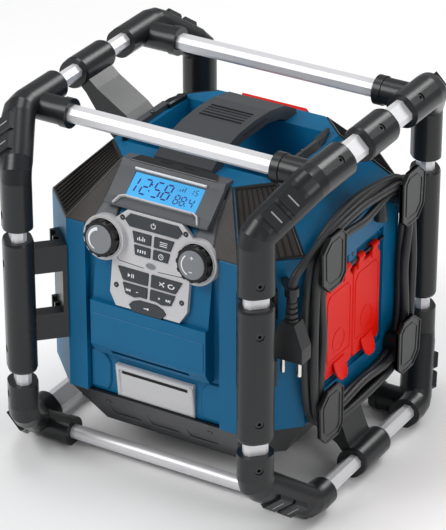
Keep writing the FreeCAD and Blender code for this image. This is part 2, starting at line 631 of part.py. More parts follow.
side_bay = prism("SideBay", "XZ_Plane",
                 [("body_x - side_bay_depth", "lid_bottom_z - 8"), ("body_x + 1", "lid_bottom_z - 8"),
                  ("body_x + 1", "lid_hinge_z + lid_hinge_round + 6"),
                  ("body_x - side_bay_depth", "lid_hinge_z + lid_hinge_round")],
                 "-side_bay_y", "2 * side_bay_y")
side_back = prism("SideBack", "XZ_Plane",
                  [("body_x - side_bay_depth - wall", "lid_bottom_z - 11"),
                   ("body_x - wall / 2", "lid_bottom_z - 11"),
                   ("body_x - wall / 2", "lid_hinge_z + lid_hinge_round + 10"),
                   ("body_x - side_bay_depth - wall", "lid_hinge_z + lid_hinge_round + 10")],
                  "-side_bay_y - wall", "2 * side_bay_y + 2 * wall")

well_top, well_floor = "deck_z + 1", "deck_z - well_depth"
tub = loft("Tub", "XY_Plane", [(slab("well_x * 0.84 + wall", "well_y * 0.84 + wall"), f"{well_floor} - wall"),
                               (slab("well_x + wall", "well_y + wall"), "deck_z")])
well = loft("Well", "XY_Plane", [(slab("well_x * 0.84", "well_y * 0.84"), well_floor),
                                 (slab("well_x", "well_y"), well_top)])

door_outer = [("body_y", "door_z"), ("body_y", "body_shoulder_z"), ("deck_y + 4", "deck_z - 4.3"),
              ("deck_y + 4 - door_thick", "deck_z - 4.3 - door_thick"),
              ("body_y - door_thick", "body_shoulder_z - door_thick / 2"), ("body_y - door_thick", "door_z")]
door_hole = [("body_y + 1", "door_z - seat_gap"), ("body_y + 1", "body_shoulder_z + 1"),
             ("deck_y + 5", "deck_z - 3.2"),
             ("deck_y + 4 - door_thick - seat_gap", "deck_z - 3.2 - door_thick"),
             ("body_y - door_thick - seat_gap", "body_shoulder_z - door_thick / 2"),
             ("body_y - door_thick - seat_gap", "door_z - seat_gap")]
BARREL_Y = "(body_y - door_barrel / 2)"
barrel_room = place(rod("BarrelRoom", "door_barrel + 2 * seat_gap", "2 * door_half_width + 2 * seat_gap"),
                    x="-door_half_width - seat_gap", y=BARREL_Y, z="door_z", axis=Y, angle=90)
barrel_mouth = place(box("BarrelMouth", "2 * door_half_width + 2 * seat_gap", "door_barrel",
                         "door_barrel / 2 + seat_gap"),
                     x="-door_half_width - seat_gap", y=BARREL_Y, z="door_z - door_barrel / 2 - seat_gap")
pin_seat = place(rod("PinSeat", "door_pin_round + 0.1", "2 * door_half_width + 12"),
                 x="-door_half_width - 6", y=BARREL_Y, z="door_z", axis=Y, angle=90)
door_seat = prism("DoorSeat", "YZ_Plane", door_hole, "-door_half_width - seat_gap",
                  "2 * door_half_width + 2 * seat_gap")
bay_box = [("body_y - 48", "door_z + 8"), ("body_y", "door_z + 8"), ("body_y", "body_shoulder_z - 8"),
           ("body_y - 48", "body_shoulder_z - 8")]
bay_wall_line = [("body_y - 48 - wall", "door_z - 12"), ("body_y - wall", "door_z - 12"),
                 ("body_y - wall", "body_shoulder_z + 6"), ("body_y - 48 - wall", "body_shoulder_z + 2")]
bay_walls = prism("BatteryBayWalls", "YZ_Plane", bay_wall_line, "-door_half_width - 8",
                  "2 * door_half_width + 16")
battery_bay = prism("BatteryBay", "YZ_Plane", bay_box, "-door_half_width + 4", "2 * door_half_width - 8")


def grille_corners(inset):
    """The right rear speaker facet's corners, drawn in from its edges."""
    low_a = FreeCAD.Vector(size("body_x"), size("body_y - corner_cut"), size("body_shoulder_z"))
    low_b = FreeCAD.Vector(size("body_x - corner_cut"), size("body_y"), size("body_shoulder_z"))
    high_b = FreeCAD.Vector(size("deck_x - deck_cut"), size("deck_y"), size("deck_z"))
    high_a = FreeCAD.Vector(size("deck_x"), size("deck_y - deck_cut"), size("deck_z"))
    middle = (low_a + low_b + high_a + high_b) * 0.25
    spots = []
    for spot in (low_a, low_b, high_b, high_a):
        inward = (middle - spot).normalize()
        spots.append(spot + inward * inset)
    normal = (low_b - low_a).cross(high_b - low_a).normalize()
    return spots, normal


def grille_block(name, inset, top, bottom):
    """A slab on the speaker facet between two depths."""
    spots, normal = grille_corners(inset)
    face = Part.Face(Part.makePolygon([spot - normal * bottom for spot in spots + spots[:1]]))
    block = doc.addObject("Part::Feature", name)
    block.Shape = face.extrude(normal * (bottom - top))
    return block


grille_seat = grille_block("GrilleSeat", size("wall") + 1 - size("seat_gap"), -2,
                           size("grille_thick") + size("seat_gap"))
grille_wall = grille_block("GrilleWall", 0.5, 1, size("grille_thick") + 5)
facet_spots, facet_normal = grille_corners(0)
facet_middle = (facet_spots[0] + facet_spots[1] + facet_spots[2] + facet_spots[3]) * 0.25
sound_hole = rod("SoundHole", "driver_round - 8", "grille_thick + 20")
sound_hole.Placement = FreeCAD.Placement(facet_middle - facet_normal * (size("grille_thick") + 15),
                                         FreeCAD.Rotation(Z, facet_normal))
body_shell = cut(fuse([hull, roof]), [room, attic], "Shell")
lined = fuse([body_shell, console, band, bay_back, side_back, mirror(side_back, X), tub,
              bay_walls] + four(grille_wall), "Lined")
trimmer = fuse([hull, roof, console, band], "Trimmer")
trimmed = boolean("Part::Common", lined, [trimmer], "Trimmed")
front_cutter = cut(front_bay, [console, band], "FrontCutter")
panel_room = [on_panel(prism("PanelRoom", "XY_Plane",
                             [("-panel_half_width - seat_gap", "-3 - seat_gap"),
                              ("panel_half_width + seat_gap", "-3 - seat_gap"),
                              ("panel_half_width + seat_gap", "panel_height + seat_gap"),
                              ("-panel_half_width - seat_gap", "panel_height + seat_gap")],
                             "-panel_thick - seat_gap", 30))]
for side in (-1, 1):
    panel_room.append(on_panel(rod("RimRoom", "bezel_round + 2 * seat_gap", 30), f"{side} * bezel_x",
                               "bezel_up",
                               "-panel_thick - seat_gap"))
housing = cut(trimmed, panel_room + [front_cutter, slot, side_bay, mirror(side_bay, X), well, door_seat,
                                     battery_bay,
                        barrel_room, barrel_mouth, pin_seat]
              + four(grille_seat) + four(sound_hole), "Housing")
node(housing, "housing")
for corner_name, piece in zip(CORNERS,
                              four(grille_block("Grille", size("wall") + 1, 0, size("grille_thick")))):
    node(piece, f"speaker_grille_{corner_name}")


# Base pan under the housing, with the bass loudspeaker

def pan(inset, low, high):
    """The base pan's tapered form, drawn in by a size."""
    top = octagon(f"body_x - 2 - {inset}", f"body_y - 2 - {inset}", f"body_y - corner_cut - 0.4 * {inset}",
                  f"body_x - corner_cut - 0.4 * {inset}")
    bottom = octagon(f"base_x - {inset}", f"base_y - {inset}", f"base_side_y - 0.4 * {inset}",
                     f"base_front_x - 0.4 * {inset}")
    return loft("Pan", "XY_Plane", [(bottom, low), (top, high)])


pockets = []
for index in (-1, 0, 1):
    middle = f"base_pitch * {index}"
    low_y = "-(base_y + (body_y - base_y) * 0.35)"
    low_z = "base_bottom_z + (body_bottom_z - base_bottom_z) * 0.3"
    outline = [(low_y, low_z), (f"{low_y} - 30", low_z), (f"{low_y} - 30", f"{low_z} + base_pocket_height"),
               (f"{low_y} - base_pocket_height * 0.68", f"{low_z} + base_pocket_height")]
    pockets.append(place(prism("BasePocket", "YZ_Plane", outline, "-base_pocket_width / 2",
                               "base_pocket_width"),
                         x=middle, y="base_pocket_depth"))
port_count = 5
ports = [place(rod("BassPort", 16, 20), x=f"{(index - 2) * 24}", y=40 * side, z="base_bottom_z - 5")
         for index in range(port_count) for side in (-1, 0, 1)]
base = cut(pan("0", "base_bottom_z", "body_bottom_z - seat_gap"),
           [pan("wall", "base_bottom_z + wall", "body_bottom_z + 1")] + pockets
           + [mirror(pocket, Y) for pocket in pockets] + ports, "Base")
node(base, "base_pan")


def loudspeaker(name, across, depth):
    """A cone loudspeaker: basket, cone, cap and magnet as one turned piece."""
    half = f"{across} / 2"
    return lathe(name, [("0", f"-{depth}"), (f"{across} * 0.24", f"-{depth}"),
                        (f"{across} * 0.24", f"-{depth} * 0.6"),
                        (f"{across} * 0.3", f"-{depth} * 0.6"), (f"{half} - 4", "-3"), (half, "-3"),
                        (half, "0"),
                        (f"{half} - 4", "0"), (f"{half} - 7", "-1"), (f"{half} - 10", "-1"),
                        (f"{across} * 0.16", f"-{depth} * 0.4"), (f"{across} * 0.1", f"-{depth} * 0.34"),
                        ("0", f"-{depth} * 0.3")])


woofer = place(loudspeaker("Woofer", "woofer_round", "woofer_depth"), z="base_bottom_z + wall + seat_gap",
               axis=X, angle=180)
node(woofer, "bass_loudspeaker")
driver = loudspeaker("Driver", "driver_round", "driver_depth")
tilt = FreeCAD.Rotation(Z, facet_normal)
seat = facet_middle - facet_normal * (size("grille_thick") + 5 + size("seat_gap"))
driver.Placement = FreeCAD.Placement(seat, tilt)
node(group(four(driver)), "corner_loudspeakers")


# Carry handle over the well in the top

handle_outline = [("-handle_reach_y", "deck_z + seat_gap"), ("-handle_reach_y + 2", "deck_z + 6"),
                  ("-handle_reach_y * 0.72", "handle_top_z - 8"),
                  ("-handle_reach_y * 0.36", "handle_top_z - 1.5"),
                  ("0", "handle_top_z"), ("handle_reach_y * 0.36", "handle_top_z - 1.5"),
                  ("handle_reach_y * 0.72", "handle_top_z - 8"), ("handle_reach_y - 2", "deck_z + 6"),
                  ("handle_reach_y", "deck_z + seat_gap"), ("well_y + 4", "deck_z + seat_gap"),
                  ("well_y - 8", "handle_top_z - handle_thick - 6"),
                  ("well_y * 0.45", "handle_top_z - handle_thick"),
                  ("-well_y * 0.45", "handle_top_z - handle_thick"),
                  ("-well_y + 8", "handle_top_z - handle_thick - 6"), ("-well_y - 4", "deck_z + seat_gap")]
node(prism("Handle", "YZ_Plane", handle_outline, "-handle_half_width", "2 * handle_half_width"),
     "carry_handle")
trim_outline = [("well_x + wall + 1", "deck_z + seat_gap"), ("deck_x - 1", "deck_z + seat_gap"),
                ("deck_x - 4", "deck_z + trim_height"), ("well_x + wall + 1", "deck_z + trim_height - 2")]
trim = prism("Trim", "XZ_Plane", trim_outline, "-trim_length / 2", "trim_length")
node(group([trim, mirror(trim, X)]), "deck_trims")


# Display hood and display

deep, high = on_front(0.46, "seat_gap"), on_front(1, "seat_gap")
HOOD_BACK = "-handle_reach_y - 1"
hood_outline = [deep, high, (HOOD_BACK, "deck_z + seat_gap"), (HOOD_BACK, "deck_z + 4"),
                ("-deck_y - 8", "deck_z + 5"), ("-deck_y - 12", "deck_z - 1"),
                ("-hood_front_y + 8", "hood_low_z + 11"),
                ("-hood_front_y", "hood_low_z + 6"), ("-hood_front_y", "hood_low_z + 4")]
hood_solid = prism("HoodSolid", "YZ_Plane", hood_outline, "-hood_half_width", "2 * hood_half_width")


def on_display(thing, lift):
    """Stand a thing on the slanted display's place."""
    return place(thing, 0, f"-display_y - {lift} * cos(display_tilt)",
                 f"display_z + {lift} * sin(display_tilt)",
                 X, "90 - display_tilt")


window_hole = on_display(prism("WindowHole", "XY_Plane",
                               slab("display_width / 2 + seat_gap", "display_height / 2 + seat_gap"),
                               "-display_thick - seat_gap", 30), 0)
node(cut(hood_solid, [window_hole], "Hood"), "display_hood")
node(on_display(prism("Display", "XY_Plane", slab("display_width / 2", "display_height / 2"),
                      "-display_thick",
                      "display_thick"), 0), "display_window")


# Control panel with its knobs and buttons

BUTTONS = {
    "power_button": [(-34, 92), (-28, 98.5), (28, 98.5), (34, 92), (28, 85.5), (-28, 85.5)],
    "equalizer_button": [(-24, 81), (-2, 81), (-2, 70), (-21, 70)],
    "custom_button": [(2, 81), (25, 81), (21, 70), (2, 70)],
    "memory_button": [(-21, 67), (-2, 67), (-2, 57), (-19, 57)],
    "clock_button": [(2, 67), (21, 67), (19, 57), (2, 57)],
    "play_button": [(-38, 40), (-2, 40), (-2, 27), (-31, 27)],
    "shuffle_button": [(2, 40), (38, 40), (31, 27), (2, 27)],
    "seek_down_button": [(-31, 24), (-2, 24), (-2, 13), (-10, 13), (-16, 11), (-27, 13)],
    "seek_up_button": [(2, 24), (31, 24), (27, 13), (16, 11), (10, 13), (2, 13)],
    "source_button": [(-22, 2), (-18, 6), (-10, 9), (10, 9), (18, 6), (22, 2), (17, -4), (-17, -4)],
}


def shifted(points, by):
    """A convex button's outline moved outwards from its middle by a size."""
    middle_x = sum(a for a, b in points) / len(points)
    middle_up = sum(b for a, b in points) / len(points)
    return [(f"{a} + {by} * {math.copysign(1, a - middle_x):.0f}",
             f"{b} + {by} * {math.copysign(1, b - middle_up):.0f}") for a, b in points]


plate_points = [("-panel_half_width", 10), ("-panel_half_width + 8", -3), ("panel_half_width - 8", -3),
                ("panel_half_width", 10), ("panel_half_width", "panel_height - 12"),
                ("panel_half_width - 14", "panel_height"), ("-panel_half_width + 14", "panel_height"),
                ("-panel_half_width", "panel_height - 12")]
plate_solid = on_panel(prism("PlateSolid", "XY_Plane", plate_points, "-panel_thick", "panel_thick"))
rims, knob_holes = [], []
for side in (-1, 1):
    rims.append(on_panel(rod("Rim", "bezel_round", "bezel_height + panel_thick"), f"{side} * bezel_x",
                         "bezel_up",
                         "-panel_thick"))
    knob_holes.append(on_panel(rod("RimWell", "bezel_round - 5", "bezel_height + 5"), f"{side} * bezel_x",
                               "bezel_up", 1))
    knob_holes.append(on_panel(rod("ShaftHole", "knob_shaft_round + 0.1", "panel_thick + 5"),
                               f"{side} * bezel_x",
                               "bezel_up", "-panel_thick - 1"))
button_wells = [on_panel(prism("ButtonWell", "XY_Plane", shifted(points, "button_clearance"),
                               "-button_travel - button_height - seat_gap", 12))
                for points in BUTTONS.values()]
node(cut(fuse([plate_solid] + rims, "PlateRims"), button_wells + knob_holes, "Panel"), "control_panel")
for button_name, points in BUTTONS.items():
    node(on_panel(prism("Button", "XY_Plane", [(str(a), str(b)) for a, b in points], "-button_height",
                        "button_height + button_travel + 0.4")), button_name)


def knob(name, side):
    """A ribbed knob with a raised cap, on its shaft."""
    turned_form = lathe(name + "Form", [("0", "seat_gap"), ("knob_round / 2", "seat_gap"),
                                        ("knob_round / 2", "knob_height - 3"),
                                        ("knob_round / 2 - 1.5", "knob_height - 1"),
                                        ("knob_cap_round / 2", "knob_height - 1"),
                                        ("knob_cap_round / 2 - 1", "knob_height"),
                                        ("0", "knob_height")])
    shaft = place(rod(name + "Shaft", "knob_shaft_round", "panel_thick + 2"), z="-panel_thick - 1")
    whole = fuse([turned_form, shaft], name + "Whole")
    grips = []
    for index in range(6):
        turn = 60 * index
        grips.append(place(box(name + "Grip", "3", "5", "knob_height - 4"),
                           x=f"(knob_round / 2 - 1.2) * {math.cos(math.radians(turn)):.6f}",
                           y=f"(knob_round / 2 - 1.2) * {math.sin(math.radians(turn)):.6f}", z="1.5", axis=Z,
                           angle=turn or 360))
    return on_panel(cut(whole, grips, name), f"{side} * bezel_x", "bezel_up", 1)


node(knob("VolumeKnob", -1), "volume_knob")
node(knob("TuneKnob", 1), "tune_knob")


# Badge frame on the lower front

BADGE_LINE = [("-badge_y + 0.6", "badge_top_z"), ("-badge_y + 4.6", "badge_bottom_z + 15"),
              ("-body_y + front_bay_depth - seat_gap", "badge_bottom_z + 15"),
              ("-body_y + front_bay_depth - seat_gap", "badge_top_z")]
badge_solid = prism("BadgeSolid", "YZ_Plane", BADGE_LINE, "-badge_half_width", "2 * badge_half_width")
badge_slot = place(box("BadgeSlot", "2 * badge_half_width - 14", 30, 4), x="-badge_half_width + 7",
                   y="-badge_y - 5", z="badge_top_z - 10")
badge_line = place(box("BadgeLine", "2 * badge_half_width - 14", 30, 1.2), x="-badge_half_width + 7",
                   y="-badge_y - 26", z="badge_bottom_z + 19")
node(cut(badge_solid, [badge_slot, badge_line], "Badge"), "badge_frame")


# Socket side: two hinged lids over the outlet block

HINGE_X = "(body_x - side_bay_depth + lid_hinge_round / 2 + seat_gap)"
lid_points = [(HINGE_X, "lid_hinge_z - lid_hinge_round / 2 + 1"), ("lid_x", "lid_top_z"),
              ("lid_x", "lid_bottom_z + 4"), ("lid_x + 7", "lid_bottom_z - 5"),
              ("lid_x + 4", "lid_bottom_z - 8"),
              ("lid_x - lid_thick", "lid_bottom_z"), ("lid_x - lid_thick", "lid_top_z - 2"),
              (f"{HINGE_X} - 2", "lid_hinge_z - lid_hinge_round / 2 + 1")]
lids = []
for side in (-1, 1):
    flap = prism("LidFlap", "XZ_Plane", lid_points, f"-{side} * (lid_width / 2 + seat_gap) - lid_width / 2",
                 "lid_width")
    barrel = place(rod("LidBarrel", "lid_hinge_round", "lid_width - 24"), x=HINGE_X,
                   y=f"{side} * (lid_width / 2 + seat_gap) - lid_width / 2 + 12", z="lid_hinge_z", axis=X,
                   angle=-90)
    bore = place(rod("LidBore", "lid_pin_round + 0.1", "lid_width + 10"), x=HINGE_X,
                 y=f"{side} * (lid_width / 2 + seat_gap) - lid_width / 2 - 5", z="lid_hinge_z", axis=X,
                 angle=-90)
    node(cut(fuse([flap, barrel]), [bore], "Lid"), "front_socket_lid" if side < 0 else "rear_socket_lid")
pin = place(rod("LidPin", "lid_pin_round", "2 * side_bay_y - 2 * seat_gap"), x=HINGE_X,
            y="-side_bay_y + seat_gap",
            z="lid_hinge_z", axis=X, angle=-90)
node(pin, "lid_hinge_pin")
block = place(box("SocketBlock", "side_bay_depth - lid_thick + lid_x - body_x - 2 * seat_gap",
                  "2 * side_bay_y - 12", "lid_top_z - lid_bottom_z - 8"),
              x="body_x - side_bay_depth + seat_gap", y="-side_bay_y + 6", z="lid_bottom_z + 2")
node(block, "socket_block")


# Cable hooks at the corners of the socket side

HOOK_ROOM = "body_x + seat_gap"
plate_shape = [("-hook_plate_width / 2", "-hook_plate_height / 4"),
               ("-hook_plate_width / 6", "-hook_plate_height / 2"),
               ("hook_plate_width / 2", "-hook_plate_height / 4"),
               ("hook_plate_width / 2", "hook_plate_height / 3"),
               ("hook_plate_width / 6", "hook_plate_height / 2"),
               ("-hook_plate_width / 2", "hook_plate_height / 3")]
hooks = []
for height in ("hook_low_z", "hook_high_z"):
    for side in (-1, 1):
        plate_body = prism("HookPlate", "YZ_Plane", plate_shape, "hook_reach_x - hook_plate_thick",
                           "hook_plate_thick")
        place(plate_body, y=f"{side} * hook_y", z=height)
        stem = place(rod("HookStem", "hook_round", f"hook_reach_x - ({HOOK_ROOM}) - 1"), x=HOOK_ROOM,
                     y=f"{side} * hook_y", z=height, axis=Y, angle=90)
        hooks.append(fuse([plate_body, stem], "Hook"))
node(group(hooks), "cable_hooks")


# Mains cord wound on the hooks, with its plug

def ring_outline(out, corner):
    """The outline round the hooks, out from their centres, with cut corners."""
    half_y, low, high = f"hook_y + {out}", f"hook_low_z - ({out})", f"hook_high_z + {out}"
    side = [(f"{half_y} - {corner}", low), (half_y, f"{low} + {corner}"), (half_y, f"{high} - {corner}"),
            (f"{half_y} - {corner}", high)]
    return side + [(f"-({a})", b) for a, b in reversed(side)]


coil_x = "body_x + coil_gap"
coil_outer = prism("CoilOuter", "YZ_Plane", ring_outline("hook_round / 2 + coil_build", 22), coil_x,
                   "coil_width")
coil_inner = prism("CoilInner", "YZ_Plane", ring_outline("hook_round / 2 + seat_gap", 6), f"{coil_x} - 1",
                   "coil_width + 2")
node(cut(coil_outer, [coil_inner], "Coil"), "cord_coil")
LEAD = [(160, -110.3, 294), (160, -126, 294), (156, -136, 283), (156, -136, 266.3)]


def round_wire(points):
    """Straight runs through points, joined by arcs as large as the runs allow."""
    spots = [FreeCAD.Vector(*point) for point in points]
    edges, last = [], spots[0]
    for before, corner, after in zip(spots, spots[1:], spots[2:]):
        into, out = (corner - before).normalize(), (after - corner).normalize()
        turn = into.getAngle(out)
        shorter = min((corner - before).Length, (after - corner).Length)
        radius = 0.45 * shorter / math.tan(turn / 2)
        print("cord radius", round(radius, 1), "mm")
        start, end = corner - into * 0.45 * shorter, corner + out * 0.45 * shorter
        inward = (out - into).normalize()
        middle = corner + inward * (radius / math.cos(turn / 2) - radius)
        edges += [Part.LineSegment(last, start).toShape(), Part.Arc(start, middle, end).toShape()]
        last = end
    edges.append(Part.LineSegment(last, spots[-1]).toShape())
    return Part.Wire(edges)


path = round_wire(LEAD)
profile = Part.Wire([Part.makeCircle(size("cord_round") / 2, FreeCAD.Vector(*LEAD[0]),
                                     FreeCAD.Vector(*LEAD[1]) - FreeCAD.Vector(*LEAD[0]))])
lead = doc.addObject("Part::Feature", "Lead")
lead.Shape = path.makePipeShell([profile], True, False)
print("lead volume", round(lead.Shape.Volume), "section times length",
      round(path.Length * math.pi * size("cord_round") ** 2 / 4))
node(lead, "cord_lead")
plug_outline = [("-plug_width / 2", "plug_bottom_z"), ("plug_width / 2", "plug_bottom_z"),
                ("plug_width / 2", "plug_bottom_z + 16"), ("relief_round / 2 + 1", "plug_top_z"),
                ("-relief_round / 2 - 1", "plug_top_z"), ("-plug_width / 2", "plug_bottom_z + 16")]
plug_block = prism("PlugBlock", "XZ_Plane", plug_outline, "-plug_thick / 2", "plug_thick")
relief = place(lathe("Relief", [("0", "plug_top_z - 2"), ("relief_round / 2", "plug_top_z - 2"),
                                ("cord_round / 2 + 1", "relief_top_z"), ("0", "relief_top_z")]))
grooves = []
for index in range(4):
    groove = cut(rod("GrooveRing", "relief_round + 6", 2.4), [rod("GrooveCore", "cord_round + 1", 2.4)])
    grooves.append(place(groove, z=f"plug_top_z + 3 + 6 * {index}"))
node(place(cut(fuse([plug_block, relief]), grooves, "Plug"), x="plug_x", y="-plug_y"), "plug_body")
pins = [place(rod("PlugPin", "pin_round", "pin_length"), x=f"plug_x + {side} * pin_pitch / 2", y="-plug_y",
              z="plug_bottom_z - pin_length") for side in (-1, 1)]
node(group(pins), "plug_pins")
CLIP_REACH = "((plug_x + plug_y - body_x - body_y + corner_cut) / sqrt(2) - seat_gap)"
clip_arm = box("ClipArm", 7, CLIP_REACH, "clip_height - 3")
clip_ring = place(rod("ClipRing", "cord_round + 2 * clip_wall", "clip_height"), x=3.5)
clip_bore = place(rod("ClipBore", "cord_round + 2 * seat_gap + 1", "clip_height + 2"), x=3.5, z=-1)
clip_turned = cut(fuse([clip_arm, clip_ring]), [clip_bore], "Clip")
clip_shift = "3.5 / sqrt(2)"
node(place(clip_turned, x=f"plug_x - {clip_shift}", y=f"-plug_y - {clip_shift}", z="clip_low_z", axis=Z,
           angle=45),
     "cord_clip")
gland = place(lathe("Gland", [("0", "0"), ("gland_round / 2", "0"), ("gland_round / 2", "6"),
                              ("cord_round / 2 + 1", "gland_length - seat_gap"),
                              ("0", "gland_length - seat_gap")]),
              x="body_x + gland_round / 2 + seat_gap", y="gland_y",
              z="hook_high_z + hook_round / 2 + seat_gap - gland_length")
node(gland, "cord_gland")


# Rear door with its latch

flap = prism("DoorFlap", "YZ_Plane", door_outer, "-door_half_width", "2 * door_half_width")
door_barrel = place(rod("DoorBarrel", "door_barrel", "2 * door_half_width"), x="-door_half_width", y=BARREL_Y,
                    z="door_z", axis=Y, angle=90)
door_bore = place(rod("DoorBore", "door_pin_round + 0.1", "2 * door_half_width + 4"),
                  x="-door_half_width - 2",
                  y=BARREL_Y, z="door_z", axis=Y, angle=90)
node(cut(fuse([flap, door_barrel]), [door_bore], "Door"), "rear_door")
node(place(rod("DoorPin", "door_pin_round", "2 * door_half_width + 10"), x="-door_half_width - 5", y=BARREL_Y,
           z="door_z", axis=Y, angle=90), "rear_door_pin")
latch_outline = turned([on_front(0.7, "seat_gap"), on_front(0.7, "latch_thick"),
                        on_front(0.98, "latch_thick"),
                        on_front(0.98, "seat_gap")])
node(prism("Latch", "YZ_Plane", latch_outline, "-latch_width / 2", "latch_width"), "rear_door_latch")


# Inside

node(place(box("Board", "2 * board_half_width", "board_thick", "board_height"), x="-board_half_width",
           y="-body_y + front_bay_depth + wall + seat_gap", z="body_bottom_z + 12"), "circuit_board")
node(place(box("Supply", "supply_width", "supply_depth", "supply_height"), x="-supply_width / 2",
           y="woofer_round / 2 + 4", z="base_bottom_z + wall + seat_gap"), "power_supply")


# Check every object, then write each sub-part's solids

doc.recompute()
for thing in doc.Objects:
    if "Invalid" in thing.State or "Error" in thing.State:
        raise RuntimeError(f"{thing.Name} ({thing.Label}) failed: {thing.State}")
os.makedirs("parts", exist_ok=True)
for thing in NODES:
    if thing.Shape.isNull() or not thing.Shape.isValid() or not thing.Shape.Solids:
        raise RuntimeError(f"{thing.Label} has no valid solid")
    thing.Shape.exportStep(f"parts/{thing.Label}.step")
print(len(NODES), "sub-parts written")
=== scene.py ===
"""Looks of the jobsite radio: finishes, cord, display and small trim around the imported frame.

Lengths are millimetres, save where a line says metres. +Z is up, the control panel faces -Y and the socket
lids face +X.
"""

import json
import logging
import math
from dataclasses import dataclass, field
from enum import Enum
from typing import Any, Sequence

import bpy
import numpy as np
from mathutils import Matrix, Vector

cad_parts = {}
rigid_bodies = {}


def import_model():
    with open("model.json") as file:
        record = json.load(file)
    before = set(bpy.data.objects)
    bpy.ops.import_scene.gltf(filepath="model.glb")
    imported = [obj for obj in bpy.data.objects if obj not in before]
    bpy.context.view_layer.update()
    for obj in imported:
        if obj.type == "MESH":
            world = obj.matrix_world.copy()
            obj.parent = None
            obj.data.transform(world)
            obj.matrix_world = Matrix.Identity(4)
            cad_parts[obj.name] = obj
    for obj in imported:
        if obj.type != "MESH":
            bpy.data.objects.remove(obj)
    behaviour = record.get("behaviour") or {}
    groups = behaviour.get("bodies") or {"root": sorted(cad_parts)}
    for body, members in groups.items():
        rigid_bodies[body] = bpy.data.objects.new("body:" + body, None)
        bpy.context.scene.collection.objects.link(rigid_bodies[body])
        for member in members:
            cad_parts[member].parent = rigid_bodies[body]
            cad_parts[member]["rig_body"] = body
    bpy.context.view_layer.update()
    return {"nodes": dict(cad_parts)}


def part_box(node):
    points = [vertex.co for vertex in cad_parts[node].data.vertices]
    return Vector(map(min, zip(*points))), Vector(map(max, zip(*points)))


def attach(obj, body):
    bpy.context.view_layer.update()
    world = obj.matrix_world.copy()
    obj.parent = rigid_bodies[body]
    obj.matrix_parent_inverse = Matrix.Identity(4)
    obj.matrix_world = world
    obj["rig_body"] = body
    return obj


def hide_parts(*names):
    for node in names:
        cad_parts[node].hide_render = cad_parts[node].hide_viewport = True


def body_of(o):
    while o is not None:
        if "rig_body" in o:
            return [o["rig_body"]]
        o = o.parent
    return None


LOG = logging.getLogger("radio")
MM = 0.001
Colour = tuple[float, float, float]
Triple = tuple[float, float, float]
Spots = tuple[tuple[float, float], ...]
Outline = Spots | np.ndarray
LEFT_RIGHT = ((-1, "left"), (1, "right"))
FRONT_REAR = ((-1, "front"), (1, "rear"))


def srgb(red: int, green: int, blue: int) -> Colour:
    """A screen colour as the linear colour that a shader takes.

    Args:
        red: red from 0 to 255.
        green: green from 0 to 255.
        blue: blue from 0 to 255.

    Returns:
        The linear red, green and blue.
    """
    parts = [value / 255 for value in (red, green, blue)]
    linear = [value / 12.92 if value <= 0.04045 else ((value + 0.055) / 1.055) ** 2.4 for value in parts]
    return (linear[0], linear[1], linear[2])


class Wire:
    """A shader socket whose operators add Math nodes."""

    def __init__(self, kit: "ShaderKit", socket: Any) -> None:
        self.kit = kit
        self.socket = socket

    def _math(self, operation: str, *values: Any) -> "Wire":
        """A Math node of one operation on values."""
        return self.kit.add("ShaderNodeMath", {"operation": operation}, dict(enumerate(values)))

    def __add__(self, other: Any) -> "Wire":
        """Sum."""
        return self._math("ADD", self, other)

    def __sub__(self, other: Any) -> "Wire":
        """Difference."""
        return self._math("SUBTRACT", self, other)

    def __rsub__(self, other: Any) -> "Wire":
        """Reflected difference."""
        return self._math("SUBTRACT", other, self)

    def __mul__(self, other: Any) -> "Wire":
        """Product."""
        return self._math("MULTIPLY", self, other)

    def wave(self) -> "Wire":
        """The sine of the value."""
        return self._math("SINE", self)

    def above(self, limit: float) -> "Wire":
        """One where the value is above a limit, and zero elsewhere."""
        return self._math("GREATER_THAN", self, limit)


